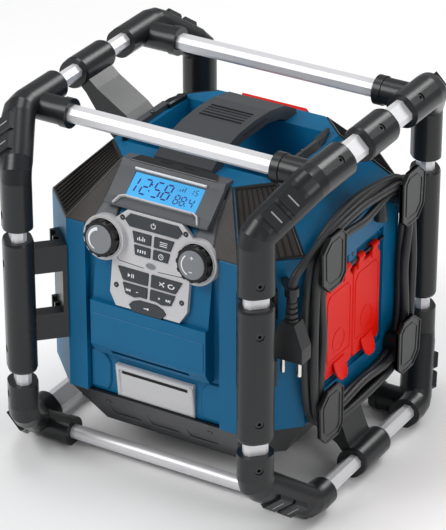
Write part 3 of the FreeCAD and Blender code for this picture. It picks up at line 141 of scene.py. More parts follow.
class ShaderKit:
    """One material's node tree."""

    def __init__(self, name: str) -> None:
        """Start a material with a Principled shader.

        Args:
            name: the material's name.
        """
        self.material = bpy.data.materials.new(name)
        self.material.use_nodes = True
        self.tree = self.material.node_tree
        self.shader = self.tree.nodes["Principled BSDF"]

    def add(self, kind: str, settings: dict[str, Any], inputs: dict[Any, Any], output: Any = 0) -> Wire:
        """Add a node.

        Args:
            kind: the node's type.
            settings: its settings, made before its sockets are filled.
            inputs: values or wires by socket name or number.
            output: the output to return.

        Returns:
            The output as a wire.
        """
        node = self.tree.nodes.new(kind)
        for name, value in settings.items():
            setattr(node, name, value)
        for key, value in inputs.items():
            self.feed(node.inputs[key], value)
        return Wire(self, node.outputs[output])

    def feed(self, socket: Any, value: Any) -> None:
        """Link a wire to a socket, or set its plain value.

        Args:
            socket: the input to fill.
            value: a wire or a plain value.
        """
        if isinstance(value, Wire):
            self.tree.links.new(value.socket, socket)
        else:
            socket.default_value = value

    def place(self) -> Wire:
        """Object coordinates."""
        return self.add("ShaderNodeTexCoord", {}, {}, "Object")

    def axis(self, name: str) -> Wire:
        """One axis of the object coordinates, in metres."""
        return self.add("ShaderNodeSeparateXYZ", {}, {0: self.place()}, name)

    def noise(self, scale: float, detail: float = 3.0, stretch: Triple = (1, 1, 1)) -> Wire:
        """Noise from 0 to 1 on object coordinates, stretched per axis."""
        spot = self.add("ShaderNodeMapping", {}, {"Vector": self.place(), "Scale": stretch})
        return self.add("ShaderNodeTexNoise", {}, {"Vector": spot, "Scale": scale, "Detail": detail}, "Fac")

    def blend(self, factor: Any, first: Any, second: Any) -> Wire:
        """Mix two colours.

        Args:
            factor: the share of the second colour.
            first: the first colour.
            second: the second colour.

        Returns:
            The mixed colour.
        """
        node = self.tree.nodes.new("ShaderNodeMix")
        node.data_type = "RGBA"
        for index, value in ((0, factor), (6, first), (7, second)):
            self.feed(node.inputs[index], value)
        return Wire(self, node.outputs[2])

    def bump(self, height: Wire, distance: float, strength: float = 1.0) -> None:
        """Feed a height, over a distance in metres, to the shader's normal."""
        normal = self.add("ShaderNodeBump", {}, {"Height": height, "Distance": distance, "Strength": strength})
        self.feed(self.shader.inputs["Normal"], normal)

    def set(self, **values: Any) -> None:
        """Fill shader sockets by name, with underscores for spaces."""
        for name, value in values.items():
            self.feed(self.shader.inputs[name.replace("_", " ")], value)


def rgba(colour: Colour, gain: float = 1.0) -> tuple[float, float, float, float]:
    """A colour with alpha, brightened by a gain."""
    return (min(colour[0] * gain, 1), min(colour[1] * gain, 1), min(colour[2] * gain, 1), 1.0)


@dataclass(frozen=True)
class Coating:
    """What every finish has: a name, a colour, and a way to paint a shader."""

    name: str
    colour: Colour

    def build(self) -> bpy.types.Material:
        """Make the material.

        Returns:
            The painted material.
        """
        kit = ShaderKit(self.name)
        self.paint(kit)
        return kit.material

    def paint(self, kit: ShaderKit) -> None:
        raise NotImplementedError(self.name)

    def tint(self, kit: ShaderKit, factor: Wire, dark: float, light: float) -> Wire:
        """The colour, from darkened to lightened as a factor rises."""
        return kit.blend(factor, rgba(self.colour, dark), rgba(self.colour, light))


@dataclass(frozen=True)
class Moulding(Coating):
    """Moulded plastic: fine spark grain, slight mottling and dust in the broad areas."""

    roughness: float = 0.45
    grain: float = 0.00006
    grain_scale: float = 1500
    mottle: float = 0.12
    coat: float = 0.0
    gloss: float = 0.3
    cloud_scale: float = 14
    wear: float = 0.16
    sparkle: float = 0.08

    def paint(self, kit: ShaderKit) -> None:
        """Mottle the colour, and vary the roughness by cloud and grain round its mean.

        Args:
            kit: the material's tree.
        """
        cloud = kit.noise(self.cloud_scale, 4)
        fine = kit.noise(self.grain_scale, 2)
        mean = self.roughness - self.sparkle / 2
        kit.set(Base_Color=self.tint(kit, cloud, 1 - self.mottle, 1 + self.mottle),
                Roughness=(cloud - 0.5) * self.wear + fine * self.sparkle + mean,
                Coat_Weight=self.coat, Specular_IOR_Level=self.gloss)
        kit.bump(fine, self.grain, 0.35)


@dataclass(frozen=True)
class DrawnTube(Coating):
    """Anodised drawn aluminium with fine lines along the draw."""

    stretch: Triple
    line_scale: float = 900
    line_depth: float = 0.00004

    def paint(self, kit: ShaderKit) -> None:
        """Stretch one noise along the draw for the lines, and cloud the roughness with another.

        Args:
            kit: the material's tree.
        """
        lines = kit.noise(self.line_scale, 3, self.stretch)
        cloud = kit.noise(9, 3)
        kit.set(Base_Color=self.tint(kit, lines, 0.93, 1.04), Roughness=lines * 0.1 + cloud * 0.08 + 0.3,
                Metallic=0.35)
        kit.bump(lines, self.line_depth, 0.25)


@dataclass(frozen=True)
class PuncturedMetal(Coating):
    """Speaker cover: rows of fine holes in a dark sheet."""

    pitch: float = 1.9 * MM
    hole_share: float = 0.15
    hole_depth: float = 0.0004
    hole_colour: tuple[float, ...] = (0.004, 0.004, 0.004, 1)

    def paint(self, kit: ShaderKit) -> None:
        """Holes lie where the sines along X and along the slope are both high; dust clouds the rest.

        Args:
            kit: the material's tree.
        """
        turn = 2 * math.pi / self.pitch
        across = (kit.axis("X") + kit.axis("Y")) * turn
        along = (kit.axis("Z") - kit.axis("Y") * 0.5) * (turn * 1.2)
        holes = (across.wave() * along.wave()).above(self.hole_share)
        dust = kit.noise(40, 4)
        kit.set(Base_Color=kit.blend(holes, self.tint(kit, dust, 0.8, 1.5), self.hole_colour),
                Roughness=dust * 0.2 + 0.45)
        kit.bump(1 - holes, self.hole_depth, 0.7)


@dataclass(frozen=True)
class LitDisplay(Coating):
    """Backlit liquid crystal: glowing blue, softly uneven."""

    glow: float = 0.55

    def paint(self, kit: ShaderKit) -> None:
        """Give off the same softly uneven colour that the glass has.

        Args:
            kit: the material's tree.
        """
        colour = self.tint(kit, kit.noise(18, 1), 0.85, 1.12)
        kit.set(Base_Color=colour, Emission_Color=colour, Roughness=0.12, Coat_Weight=0.6,
                Emission_Strength=self.glow)


@dataclass(frozen=True)
class Grained(Coating):
    """One noise varies colour and roughness: turning marks on steel, or the matt bloom of rubber."""

    scale: float
    detail: float
    gains: tuple[float, float]
    roughness: float
    spread: float
    metallic: float
    depth: float
    strength: float

    def paint(self, kit: ShaderKit) -> None:
        """Vary colour, roughness and height by the noise.

        Args:
            kit: the material's tree.
        """
        marks = kit.noise(self.scale, self.detail)
        kit.set(Base_Color=self.tint(kit, marks, *self.gains), Roughness=marks * self.spread + self.roughness,
                Metallic=self.metallic)
        kit.bump(marks, self.depth, self.strength)


TUBE = srgb(226, 226, 229)


class Finish(Enum):
    """Every finish that a piece can wear."""

    BLACK = Moulding("black_plastic", srgb(28, 30, 32), 0.3, 0.00005, gloss=0.42)
    BLUE = Moulding("blue_plastic", srgb(0, 97, 140), 0.42, 0.00005, mottle=0.08, gloss=0.24)
    GREY = Moulding("grey_plastic", srgb(84, 87, 91), 0.44)
    DARK_GREY = Moulding("dark_grey_plastic", srgb(60, 63, 66), 0.44)
    SILVER = Moulding("silver_plastic", srgb(196, 196, 198), 0.3, 0.00002, mottle=0.03, coat=0.3)
    RED = Moulding("red_plastic", srgb(230, 18, 0), 0.4, 0.00003, mottle=0.05, gloss=0.16)
    BUTTON = Moulding("button_plastic", srgb(58, 62, 66), 0.36, 0.00004)
    CAP = Moulding("knob_cap", srgb(124, 127, 131), 0.34, 0.00003)
    KNOB = Moulding("knob_rubber", srgb(26, 26, 28), 0.3, 0.00003)
    # White print; also worn by the chrome strip above the display, where the white is a painted reflection
    WHITE = Moulding("white_print_and_chrome_reflection", srgb(235, 236, 238), 0.5, 0.00001, mottle=0.02)
    MARK = Moulding("pale_mark", srgb(150, 153, 156), 0.35, 0.00002, mottle=0.04)
    DIGIT = Moulding("display_digit", srgb(38, 30, 120), 0.4, 0.00001, mottle=0.05)
    # Near-black: the real black of the loudspeakers and power supply, and painted shade in screw recesses, outlet
    # holes, slots and under the handle
    BLACK_AND_SHADE = Moulding("black_and_painted_shade", srgb(12, 12, 13), 0.6, 0.00004)
    TUBE_Z = DrawnTube("tube_upright", TUBE, (1, 1, 0.02))
    TUBE_Y = DrawnTube("tube_side", TUBE, (1, 0.02, 1))
    TUBE_X = DrawnTube("tube_cross", TUBE, (0.02, 1, 1))
    GRILLE = PuncturedMetal("speaker_mesh", srgb(58, 52, 48))
    DISPLAY = LitDisplay("display_light", srgb(62, 158, 214), 0.45)
    SCREW = Grained("screw_steel", srgb(70, 70, 72), 700, 2, (0.85, 1.1), 0.3, 0.15, 1.0, 0.00003, 0.3)
    PIN = Grained("pin_nickel", srgb(225, 220, 212), 700, 2, (0.85, 1.1), 0.15, 0.15, 1.0, 0.00003, 0.3)
    RUBBER = Grained("cable_rubber", srgb(34, 35, 37), 60, 5, (0.8, 1.35), 0.36, 0.2, 0.0, 0.0002, 0.25)
    BOARD = Moulding("board_lacquer", srgb(20, 90, 50), 0.3)


MATERIALS: dict[Finish, bpy.types.Material] = {}


def body_name(node: str) -> str:
    """The body that carries a CAD node."""
    carried = body_of(bpy.data.objects[node])
    return carried if isinstance(carried, str) else carried[0]


def finish_piece(name: str, points: np.ndarray, faces: list[list[int]], finish: Finish, body: str) -> bpy.types.Object:
    """Make a mesh piece that rides on a body.

    Args:
        name: the piece's name.
        points: vertices, one row each.
        faces: vertex numbers of each face.
        finish: what it wears.
        body: the body that carries it.

    Returns:
        The piece.
    """
    mesh = bpy.data.meshes.new(name)
    mesh.from_pydata((points * MM).tolist(), [], faces)
    mesh.validate()
    mesh.materials.append(MATERIALS[finish])
    mesh.shade_smooth()
    mesh.set_sharp_from_angle(angle=math.radians(32))
    piece = bpy.data.objects.new(name, mesh)
    bpy.context.collection.objects.link(piece)
    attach(piece, body)
    LOG.info("piece %s on %s", name, body)
    return piece


def stack(rings: np.ndarray) -> tuple[np.ndarray, list[list[int]]]:
    """Close a stack of rings into a solid skin.

    The surface is the rings joined in order: its first parameter runs through the rings and its second
    round each ring. The first and last rings get a flat cap.

    Args:
        rings: ring count by points round a ring by three, anticlockwise seen from the last ring.

    Returns:
        The points and the faces.
    """
    count, around = rings.shape[:2]
    low = np.arange((count - 1) * around).reshape(count - 1, around)
    side = np.stack([low, np.roll(low, -1, 1), np.roll(low, -1, 1) + around, low + around], -1).reshape(-1, 4)
    caps = [list(range(around))[::-1], list(range((count - 1) * around, count * around))]
    return rings.reshape(-1, 3), side.tolist() + caps


def unit(direction: Any) -> np.ndarray:
    """A direction at length one."""
    return np.asarray(direction, float) / np.linalg.norm(direction)


@dataclass(frozen=True)
class Face:
    """A flat place on the object: an origin, and its right, up and outward directions."""

    origin: Triple
    right: Triple
    up: Triple

    def lift(self, flat: np.ndarray, height: float) -> np.ndarray:
        """Points of the plane at a height over it: origin + x * right + y * up + height * outward."""
        right, up = np.array(self.right), np.array(self.up)
        return np.array(self.origin) + flat[:, :1] * right + flat[:, 1:] * up + height * np.cross(right, up)

    def at(self, x: float, y: float) -> "Face":
        """The same plane with its origin moved along it."""
        spot = self.lift(np.array([[x, y]]), 0.0)[0]
        return Face((spot[0], spot[1], spot[2]), self.right, self.up)


def tilted_front(x: float, y: float, z: float, tilt: float = 0.0) -> Face:
    """A plane that faces -Y and leans back from upright by a tilt in degrees."""
    lean = math.radians(tilt)
    return Face((x, y, z), (1.0, 0.0, 0.0), (0.0, math.sin(lean), math.cos(lean)))


def sideways(x: float, y: float, z: float, way: float = 1.0) -> Face:
    """An upright plane that faces +X, or -X with a way of -1."""
    return Face((x, y, z), (0.0, way, 0.0), (0.0, 0.0, 1.0))


def level(x: float, y: float, z: float) -> Face:
    """A flat plane that faces up."""
    return Face((x, y, z), (1.0, 0.0, 0.0), (0.0, 1.0, 0.0))


def mirrored(outline: Outline, side: int) -> np.ndarray:
    """An outline as it is for side 1, and turned over left to right for side -1, still anticlockwise."""
    rows = np.asarray(outline, float)
    return rows if side > 0 else (rows * (-1, 1))[::-1]


def inset(outline: np.ndarray, distance: float) -> np.ndarray:
    """An anticlockwise outline moved inwards: each corner goes along the mitre of its two sides.

    Args:
        outline: rows of x and y.
        distance: how far each side moves.

    Returns:
        The smaller outline.
    """
    run = np.roll(outline, -1, 0) - outline
    run = run / np.linalg.norm(run, axis=1, keepdims=True)
    normal = np.stack([-run[:, 1], run[:, 0]], 1)
    before = np.roll(normal, 1, 0)
    return outline + distance * (normal + before) / (1 + (normal * before).sum(1, keepdims=True))


def ellipse(half_x: float, half_y: float, count: int = 40, power: float = 2.0, turn: float = 0.0) -> np.ndarray:
    """An outline with |x/a|^p + |y/b|^p = 1: an ellipse at power 2, and squarer above.

    Args:
        half_x: half its width.
        half_y: half its height.
        count: its points.
        power: its squareness.
        turn: radians that its first point is turned by.

    Returns:
        Rows of x and y.
    """
    angle = np.linspace(0, 2 * math.pi, count, endpoint=False) + turn
    wave = np.stack([np.cos(angle), np.sin(angle)], 1)
    return np.sign(wave) * np.abs(wave) ** (2 / power) * np.array([half_x, half_y])


def disc(radius: float, count: int = 28) -> np.ndarray:
    """A round outline."""
    return ellipse(radius, radius, count)


def bar(start: tuple[float, float], end: tuple[float, float], width: float) -> np.ndarray:
    """A straight bar's outline from start to end.

    Args:
        start: the middle of one end.
        end: the middle of the other end.
        width: its width.

    Returns:
        Four rows, anticlockwise.
    """
    run = unit(np.subtract(end, start))
    side = np.array([-run[1], run[0]]) * width / 2
    return np.array([start - side, end - side, end + side, start + side])


def level_bars(half: float, heights: Sequence[float], width: float) -> list[np.ndarray]:
    """Equal bars across the middle line, one at each height."""
    return [bar((-half, height), (half, height), width) for height in heights]


def arc_band(radius: float, first: float, last: float, start_width: float, end_width: float) -> np.ndarray:
    """A band along an arc whose width grows evenly: radius + or - half the width, from first to last degrees.

    Args:
        radius: the arc's radius.
        first: where it starts, in degrees.
        last: where it ends, in degrees.
        start_width: its width there.
        end_width: its width at the end.

    Returns:
        Rows of x and y, anticlockwise.
    """
    angle = np.radians(np.linspace(first, last, 26))
    half = np.linspace(start_width, end_width, 26) / 2
    spots = np.stack([np.cos(angle), np.sin(angle)], 1)
    return np.concatenate([spots * (radius + half)[:, None], (spots * (radius - half)[:, None])[::-1]])


def plates(name: str, face: Face, outlines: Sequence[Outline], thick: float, finish: Finish, body: str = "root",
           edge: float = 0.25, base: float = -0.1) -> bpy.types.Object:
    """Plates with softened edges lying on a plane, as one piece.

    Each is a stack of its outline: at the base, at the top less the edge, and inset by the edge at the top.

    Args:
        name: the piece's name.
        face: the plane that they lie on.
        outlines: anticlockwise rows of x and y, one set each.
        thick: their height over the plane.
        finish: what they wear.
        body: the body that carries them.
        edge: width of their chamfer.
        base: height of their underside.

    Returns:
        The piece.
    """
    points, faces, count = [], [], 0
    for outline in (np.asarray(rows, float) for rows in outlines):
        rings = np.stack([face.lift(outline, base), face.lift(outline, thick - edge),
                          face.lift(inset(outline, edge), thick)])
        spots, loops = stack(rings)
        points.append(spots)
        faces += [[index + count for index in loop] for loop in loops]
        count += len(spots)
    return finish_piece(name, np.concatenate(points), faces, finish, body)


def frame_plate(name: str, face: Face, outline: Outline, width: float, thick: float, finish: Finish,
                body: str = "root") -> bpy.types.Object:
    """A closed raised line: the outline's ring of a width, as a loop of a four-sided section.

    Args:
        name: the piece's name.
        face: the plane that it lies on.
        outline: anticlockwise rows of x and y.
        width: the line's width.
        thick: its height over the plane.
        finish: what it wears.
        body: the body that carries it.

    Returns:
        The piece.
    """
    outer, edge, wall = np.asarray(outline, float), width * 0.25, thick * 0.6
    section = ((0.0, -0.1), (0.0, wall), (edge, thick), (width - edge, thick), (width, wall), (width, -0.1))
    rings = np.stack([face.lift(inset(outer, inwards), height) for inwards, height in section])
    count, around = rings.shape[:2]
    index = np.arange(count * around).reshape(count, around)
    below = np.roll(index, -1, 0)
    quads = np.stack([index, np.roll(index, -1, 1), np.roll(below, -1, 1), below], -1).reshape(-1, 4)
    return finish_piece(name, rings.reshape(-1, 3), quads.tolist(), finish, body)


def cross_screw(name: str, face: Face, radius: float, body: str = "root") -> None:
    """A sunk cross-head screw: a dark ring of painted shade in its recess, a paler rim and a cross.

    Args:
        name: the start of its pieces' names.
        face: the plane at its middle.
        radius: its hole's radius.
        body: the body that carries it.
    """
    arm, slot, rim = radius * 0.4, radius * 0.2, radius * 0.78
    # The well is a black disc of painted shade in the screw's recess; it shows as a ring round the head
    plates(f"{name}_well", face, [disc(radius)], 0.25, Finish.BLACK_AND_SHADE, body, edge=0.1)
    frame_plate(f"{name}_head", face, disc(rim), radius * 0.42, 0.7, Finish.SCREW, body)
    plates(f"{name}_cross", face, [bar((-arm, 0), (arm, 0), slot), bar((0, -arm), (0, arm), slot)], 0.45,
           Finish.MARK, body, edge=0.05)


FRONT = tilted_front(0, -157, 214.7, 9)
DISPLAY = tilted_front(0, -120.2, 334, 51)


@dataclass
class Studio:
    """Pale floor, soft lamps and the camera at the photograph's angle; its lengths are metres."""

    azimuth: float = 30.7
    elevation: float = 28.0
    distance: float = 3.176
    lens: float = 203.5
    target: Triple = (-0.004, 0.0, 0.195)
    floor_radius: float = 9.0
    soft_light: float = 0.34
    lamps: dict[str, tuple[Triple, float, float]] = field(default_factory=lambda: {
        "key": ((-1.3, -1.9, 2.3), 1.5, 46.0),
        "side": ((2.4, -0.9, 1.5), 1.1, 15.0),
        "back": ((0.9, 2.2, 2.4), 1.3, 40.0),
        "top": ((-0.4, 0.2, 2.9), 1.2, 20.0)})

    def floor(self) -> None:
        """A floor disc: a radius round the origin at height zero, so that the shadow shows."""
        kit = ShaderKit("studio_floor")
        cloud = kit.noise(2, 1)
        kit.set(Base_Color=kit.blend(cloud, (0.93, 0.93, 0.93, 1), (0.97, 0.97, 0.97, 1)), Roughness=0.9)
        outline = disc(self.floor_radius, 64)
        mesh = bpy.data.meshes.new("studio_floor")
        mesh.from_pydata(np.c_[outline, np.zeros(len(outline))].tolist(), [], [list(range(len(outline)))])
        mesh.materials.append(kit.material)
        floor = bpy.data.objects.new("studio_floor", mesh)
        bpy.context.collection.objects.link(floor)

    def sky(self) -> None:
        """White for the camera, and a soft grey for the light that falls on the object."""
        world = bpy.data.worlds.new("studio_sky")
        bpy.context.scene.world = world
        world.use_nodes = True
        tree = world.node_tree
        path = tree.nodes.new("ShaderNodeLightPath")
        strength = tree.nodes.new("ShaderNodeMapRange")
        strength.inputs["To Min"].default_value = self.soft_light
        strength.inputs["To Max"].default_value = 1.0
        tree.links.new(path.outputs["Is Camera Ray"], strength.inputs["Value"])
        background = tree.nodes["Background"]
        background.inputs["Color"].default_value = (1, 1, 1, 1)
        tree.links.new(strength.outputs["Result"], background.inputs["Strength"])

    def light(self) -> None:
        """Large square lamps, each turned to the middle of the object."""
        for name, (spot, size, power) in self.lamps.items():
            data = bpy.data.lights.new(name, "AREA")
            data.size, data.energy = size, power
            lamp = bpy.data.objects.new(name, data)
            lamp.location = spot
            lamp.rotation_euler = (Vector(self.target) - Vector(spot)).to_track_quat("-Z", "Y").to_euler()
            bpy.context.collection.objects.link(lamp)

    def camera(self) -> None:
        """The photograph's view: a long lens fitted to the cage's straight tubes."""
        around, above = math.radians(self.azimuth), math.radians(self.elevation)
        away = Vector((math.sin(around) * math.cos(above), -math.cos(around) * math.cos(above), math.sin(above)))
        data = bpy.data.cameras.new("camera")
        data.sensor_fit, data.sensor_height, data.lens = "VERTICAL", 36.0, self.lens
        data.clip_end = 50.0
        camera = bpy.data.objects.new("camera", data)
        camera.location = Vector(self.target) + away * self.distance
        camera.rotation_euler = (-away).to_track_quat("-Z", "Y").to_euler()
        bpy.context.collection.objects.link(camera)
        bpy.context.scene.camera = camera

    def build(self) -> None:
        """Set the whole stage."""
        bpy.context.scene.view_settings.view_transform = "Standard"
        self.floor()
        self.sky()
        self.light()
        self.camera()


@dataclass
class MainsCord:
    """The wound mains lead: four turns and a bit round the hooks, then the free end down to the plug."""

    round: float = 9.0
    hook_y: float = 81.0
    low_z: float = 110.0
    high_z: float = 287.0
    start: float = 0.52
    turns: float = 4.10
    each_turn: int = 28
    squareness: float = 5.6
    depths: tuple[float, ...] = (157.3, 166.2, 166.3, 157.5, 161.5)
    reaches: tuple[float, ...] = (15.6, 15.8, 24.3, 24.6, 25.0)
    sways: tuple[float, ...] = (-2.5, -9.0, 2.0, 7.0, 3.0)
    gland: tuple[Triple, ...] = ((159.3, 44, 298), (159.3, 44, 305), (158.6, 34, 309), (157.8, 20, 305),
                                 (157.4, 6, 303))
    lead: tuple[Triple, ...] = ((160.5, -104, 299), (160, -120, 295), (157.5, -132, 288), (156, -136, 278),
                                (156, -136, 266.3))

    def winding(self) -> np.ndarray:
        """The turns round the four hooks as control points.

        |y/a|^n + |z/b|^n = 1, with a and b past the hooks by the reach and n high enough to go round them.
        Depth, reach and sway change from turn to turn near the turn's end, and the runs between hooks
        bulge by the sway, most half way between two hooks and not at all at a hook.

        Returns:
            Rows of X, Y and Z.
        """
        part = np.arange(0, self.turns, 1 / self.each_turn)
        settled = np.floor(part) + np.clip((part % 1) * 4 - 3, 0, 1)
        marks = np.arange(len(self.depths))
        depth, reach, sway = (np.interp(settled, marks, each) for each in (self.depths, self.reaches, self.sways))
        angle = (self.start + 2 * part) * math.pi
        wide = np.abs(np.cos(angle) / (self.hook_y + reach)) ** self.squareness
        high = np.abs(np.sin(angle) / ((self.high_z - self.low_z) / 2 + reach)) ** self.squareness
        size = (wide + high) ** (-1 / self.squareness) * (1 + sway / 100 * (0.5 + 0.5 * np.cos(angle * 4)))
        middle = (self.high_z + self.low_z) / 2
        return np.stack([depth, size * np.cos(angle), size * np.sin(angle) + middle], 1)

    def route(self) -> np.ndarray:
        """Out of the gland, round the turns, over the upper front hook, and down through the clip to the plug."""
        return np.concatenate([np.array(self.gland), self.winding(), np.array(self.lead)])

    def build(self) -> None:
        """One smooth line through the route's control points, and its rubber."""
        route = self.route()
        data = bpy.data.curves.new("mains_cord", "CURVE")
        data.dimensions, data.bevel_depth, data.bevel_resolution = "3D", self.round / 2 * MM, 5
        data.use_fill_caps, data.resolution_u = True, 8
        line = data.splines.new("NURBS")
        line.points.add(len(route) - 1)
        line.points.foreach_set("co", np.c_[route * MM, np.ones(len(route))].ravel())
        line.order_u, line.use_endpoint_u = 3, True
        data.materials.append(MATERIALS[Finish.RUBBER])
        cord = bpy.data.objects.new("mains_cord", data)
        bpy.context.collection.objects.link(cord)
        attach(cord, "root")
        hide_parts("cord_coil", "cord_lead")
        LOG.info("cord with %d points", len(route))


@dataclass(frozen=True)
class NodeFinish:
    """Which finish each CAD node wears."""

    by_name: dict[Finish, str] = field(default_factory=lambda: {
        Finish.TUBE_Z: "cage_posts", Finish.TUBE_Y: "top_side_rails bottom_side_rails",
        Finish.TUBE_X: "top_cross_rails bottom_cross_rails", Finish.BLUE: "housing rear_door",
        Finish.SCREW: "cage_screws lid_hinge_pin rear_door_pin", Finish.DARK_GREY: "carry_handle deck_trims",
        Finish.BLACK_AND_SHADE: "bass_loudspeaker corner_loudspeakers power_supply", Finish.GREY: "display_hood",
        Finish.DISPLAY: "display_window", Finish.SILVER: "control_panel badge_frame",
        Finish.KNOB: "volume_knob tune_knob", Finish.RED: "front_socket_lid rear_socket_lid rear_door_latch",
        Finish.RUBBER: "plug_body", Finish.PIN: "plug_pins", Finish.BOARD: "circuit_board",
        Finish.BLACK: "base_pan socket_block cable_hooks cord_clip cord_gland"})
    by_part: tuple[tuple[str, Finish], ...] = (
        ("grille", Finish.GRILLE), ("button", Finish.BUTTON), ("cord", Finish.RUBBER))

    def pick(self, node: str) -> Finish:
        """The finish of a node.

        Args:
            node: its name.

        Returns:
            The finish by its name, or else by a part of its name, or else black.
        """
        for finish, names in self.by_name.items():
            if node in names.split():
                return finish
        return next((finish for part, finish in self.by_part if part in node), Finish.BLACK)

    def dress(self, nodes: dict[str, bpy.types.Object]) -> None:
        """Give every CAD node its finish.

        Args:
            nodes: the frame's nodes by name.
        """
        for name, node in nodes.items():
            finish = self.pick(name)
            if not node.material_slots:
                node.data.materials.append(None)
            for slot in node.material_slots:
                slot.material = MATERIALS[finish]
            LOG.info("node %s wears %s", name, finish.name)


@dataclass
class Knobs:
    """Grips, grey caps and dial arcs of the two turning knobs."""

    reach_x: float = 55.0
    up: float = 68.0
    radius: float = 18.9
    top: float = 15.0
    grips: int = 12
    cap: float = 15.2
    arc: float = 11.2
    collar: float = 21.6

    def grip_ribs(self, name: str, face: Face, body: str) -> None:
        """Upright ribs round the knob: small rounded pads on its wall.

        Args:
            name: the piece's name.
            face: the plane at the knob's foot.
            body: the knob's body.
        """
        turns = np.linspace(0, 2 * math.pi, self.grips, endpoint=False)
        spokes = np.stack([np.cos(turns), np.sin(turns)], 1)
        pads = [ellipse(1.5, 2.4, 10, 3.0, turn) @ np.array([[x, y], [-y, x]]) + (self.radius - 0.5) * np.array([x, y])
                for turn, (x, y) in zip(turns, spokes)]
        plates(name, face, pads, self.top - 1.6, Finish.KNOB, body, edge=0.7, base=2.2)

    def build(self) -> None:
        """Dress both knobs: the left one's arc grows, the right one's runs between a plus and a minus."""
        growing = [arc_band(self.arc, 250, 100, 0.8, 3.6)[::-1]]
        plain = [arc_band(self.arc, 130, 250, 1.3, 1.3), bar((-2, 7.5), (2, 7.5), 0.9),
                 bar((0, 5.5), (0, 9.5), 0.9), bar((-2, -7.5), (2, -7.5), 0.9)]
        for side, name, print_lines in ((-1, "volume", growing), (1, "tune", plain)):
            body, face = body_name(f"{name}_knob"), FRONT.at(side * self.reach_x, self.up)
            self.grip_ribs(f"{name}_grips", face, body)
            plates(f"{name}_cap", face, [disc(self.cap, 48)], self.top + 0.7, Finish.CAP, body, edge=0.6,
                   base=self.top - 0.2)
            plates(f"{name}_arc", face, print_lines, self.top + 0.85, Finish.WHITE, body, edge=0.1,
                   base=self.top + 0.5)
            frame_plate(f"{name}_collar", face, disc(self.collar, 56), 1.8, 6.9, Finish.SILVER)


def arrow(x: float, y: float, size: float, way: int = 1) -> np.ndarray:
    """A triangle that points right, or left with a way of -1."""
    corners = np.array([(x, y - size), (x + way * size * 1.3, y), (x, y + size)])
    return corners if way > 0 else corners[::-1]


def upright_bars(places: Sequence[float], low: float, high: float, width: float) -> list[np.ndarray]:
    """Equal bars side by side, from a low to a high end."""
    return [bar((x, low), (x, high), width) for x in places]


@dataclass
class PanelPrint:
    """Marks on the buttons, the receiver window, the panel's screws and its step line."""

    face_lift: float = 1.4
    levels: Spots = ((-4, 0.4), (-2, 1.8), (0, -0.4), (2, 2.4), (4, 1.0))
    step_lines: tuple[Spots, ...] = (
        ((-38, 46), (-8.5, 44.5)), ((8.5, 44.5), (38, 46)), ((-44, 53), (-38, 46)), ((38, 46), (44, 53)))
    screws: Spots = ((-37.5, 92.5), (37.5, 92.5), (-39, 19), (39, 19))
    window: tuple[float, float] = (0, 48.6)

    def icons(self) -> dict[str, list[np.ndarray]]:
        """Each button's generic mark.

        Returns:
            Outlines on the panel's plane, by the button's node.
        """
        return {
            "power": [arc_band(2.6, 120, 420, 0.7, 0.7), bar((0, 0.6), (0, 3.6), 0.8)],
            "play": [arrow(-5.4, 0, 2.2), *upright_bars((-0.8, 1.2), -2.1, 2.1, 1.0)],
            "shuffle": [bar((-8, -1.7), (-3, 1.7), 0.9), bar((-8, 1.7), (-3, -1.7), 0.9), arrow(-3.3, 1.9, 1.3),
                        arrow(-3.3, -1.9, 1.3), arc_band(2.1, 60, 390, 0.9, 0.9) * (1.6, 1) + (6, 0)],
            "seek_down": [arrow(-7, 0, 1.7, -1), arrow(-4.6, 0, 1.7, -1), bar((-9.6, -1.7), (-9.6, 1.7), 0.7),
                          bar((2.2, 0), (4.6, 0), 0.8)],
            "seek_up": [arrow(4.6, 0, 1.7), arrow(7, 0, 1.7), bar((9.6, -1.7), (9.6, 1.7), 0.7),
                        bar((-4.6, 0), (-2.2, 0), 0.8), bar((-3.4, -1.2), (-3.4, 1.2), 0.8)],
            "equalizer": [bar((x, -2.2), (x, high), 1.0) for x, high in self.levels],
            "custom": level_bars(4.4, (-1.9, 0.1, 2.1), 0.7),
            "memory": upright_bars((-4.2, -1.4, 1.4, 4.2), -1.6, 1.6, 1.3),
            "clock": [arc_band(2.7, 91, 449, 0.7, 0.7), bar((0, 0), (0, 1.9), 0.6), bar((0, 0), (1.4, -0.6), 0.6)],
            "source": [bar((-4, 0), (0.4, 0), 0.9), arrow(0.2, 0, 1.7)]}

    def build(self) -> None:
        """Marks ride on their buttons, and the rest on the panel."""
        for button, outlines in self.icons().items():
            node = f"{button}_button"
            low, high = (np.array(corner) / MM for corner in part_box(node))
            middle = (low + high) / 2
            up = (middle[2] - FRONT.origin[2]) / FRONT.up[2] - 0.1
            plates(f"{node}_mark", FRONT.at(middle[0], up), outlines, self.face_lift + 0.2, Finish.WHITE,
                   body_name(node), edge=0.06, base=self.face_lift - 0.2)
        receiver = FRONT.at(*self.window)
        plates("receiver_window", receiver, [ellipse(5.6, 3.2, 36)], 0.5, Finish.CAP, edge=0.3)
        frame_plate("receiver_rim", receiver, ellipse(6.4, 4.0, 36), 0.8, 0.7, Finish.SILVER)
        plates("panel_step", FRONT, [bar(*ends, 0.7) for ends in self.step_lines], 0.25, Finish.GREY, edge=0.05)
        for index, (x, up) in enumerate(self.screws):
            cross_screw(f"panel_screw_{index}", FRONT.at(x, up), 2.9)


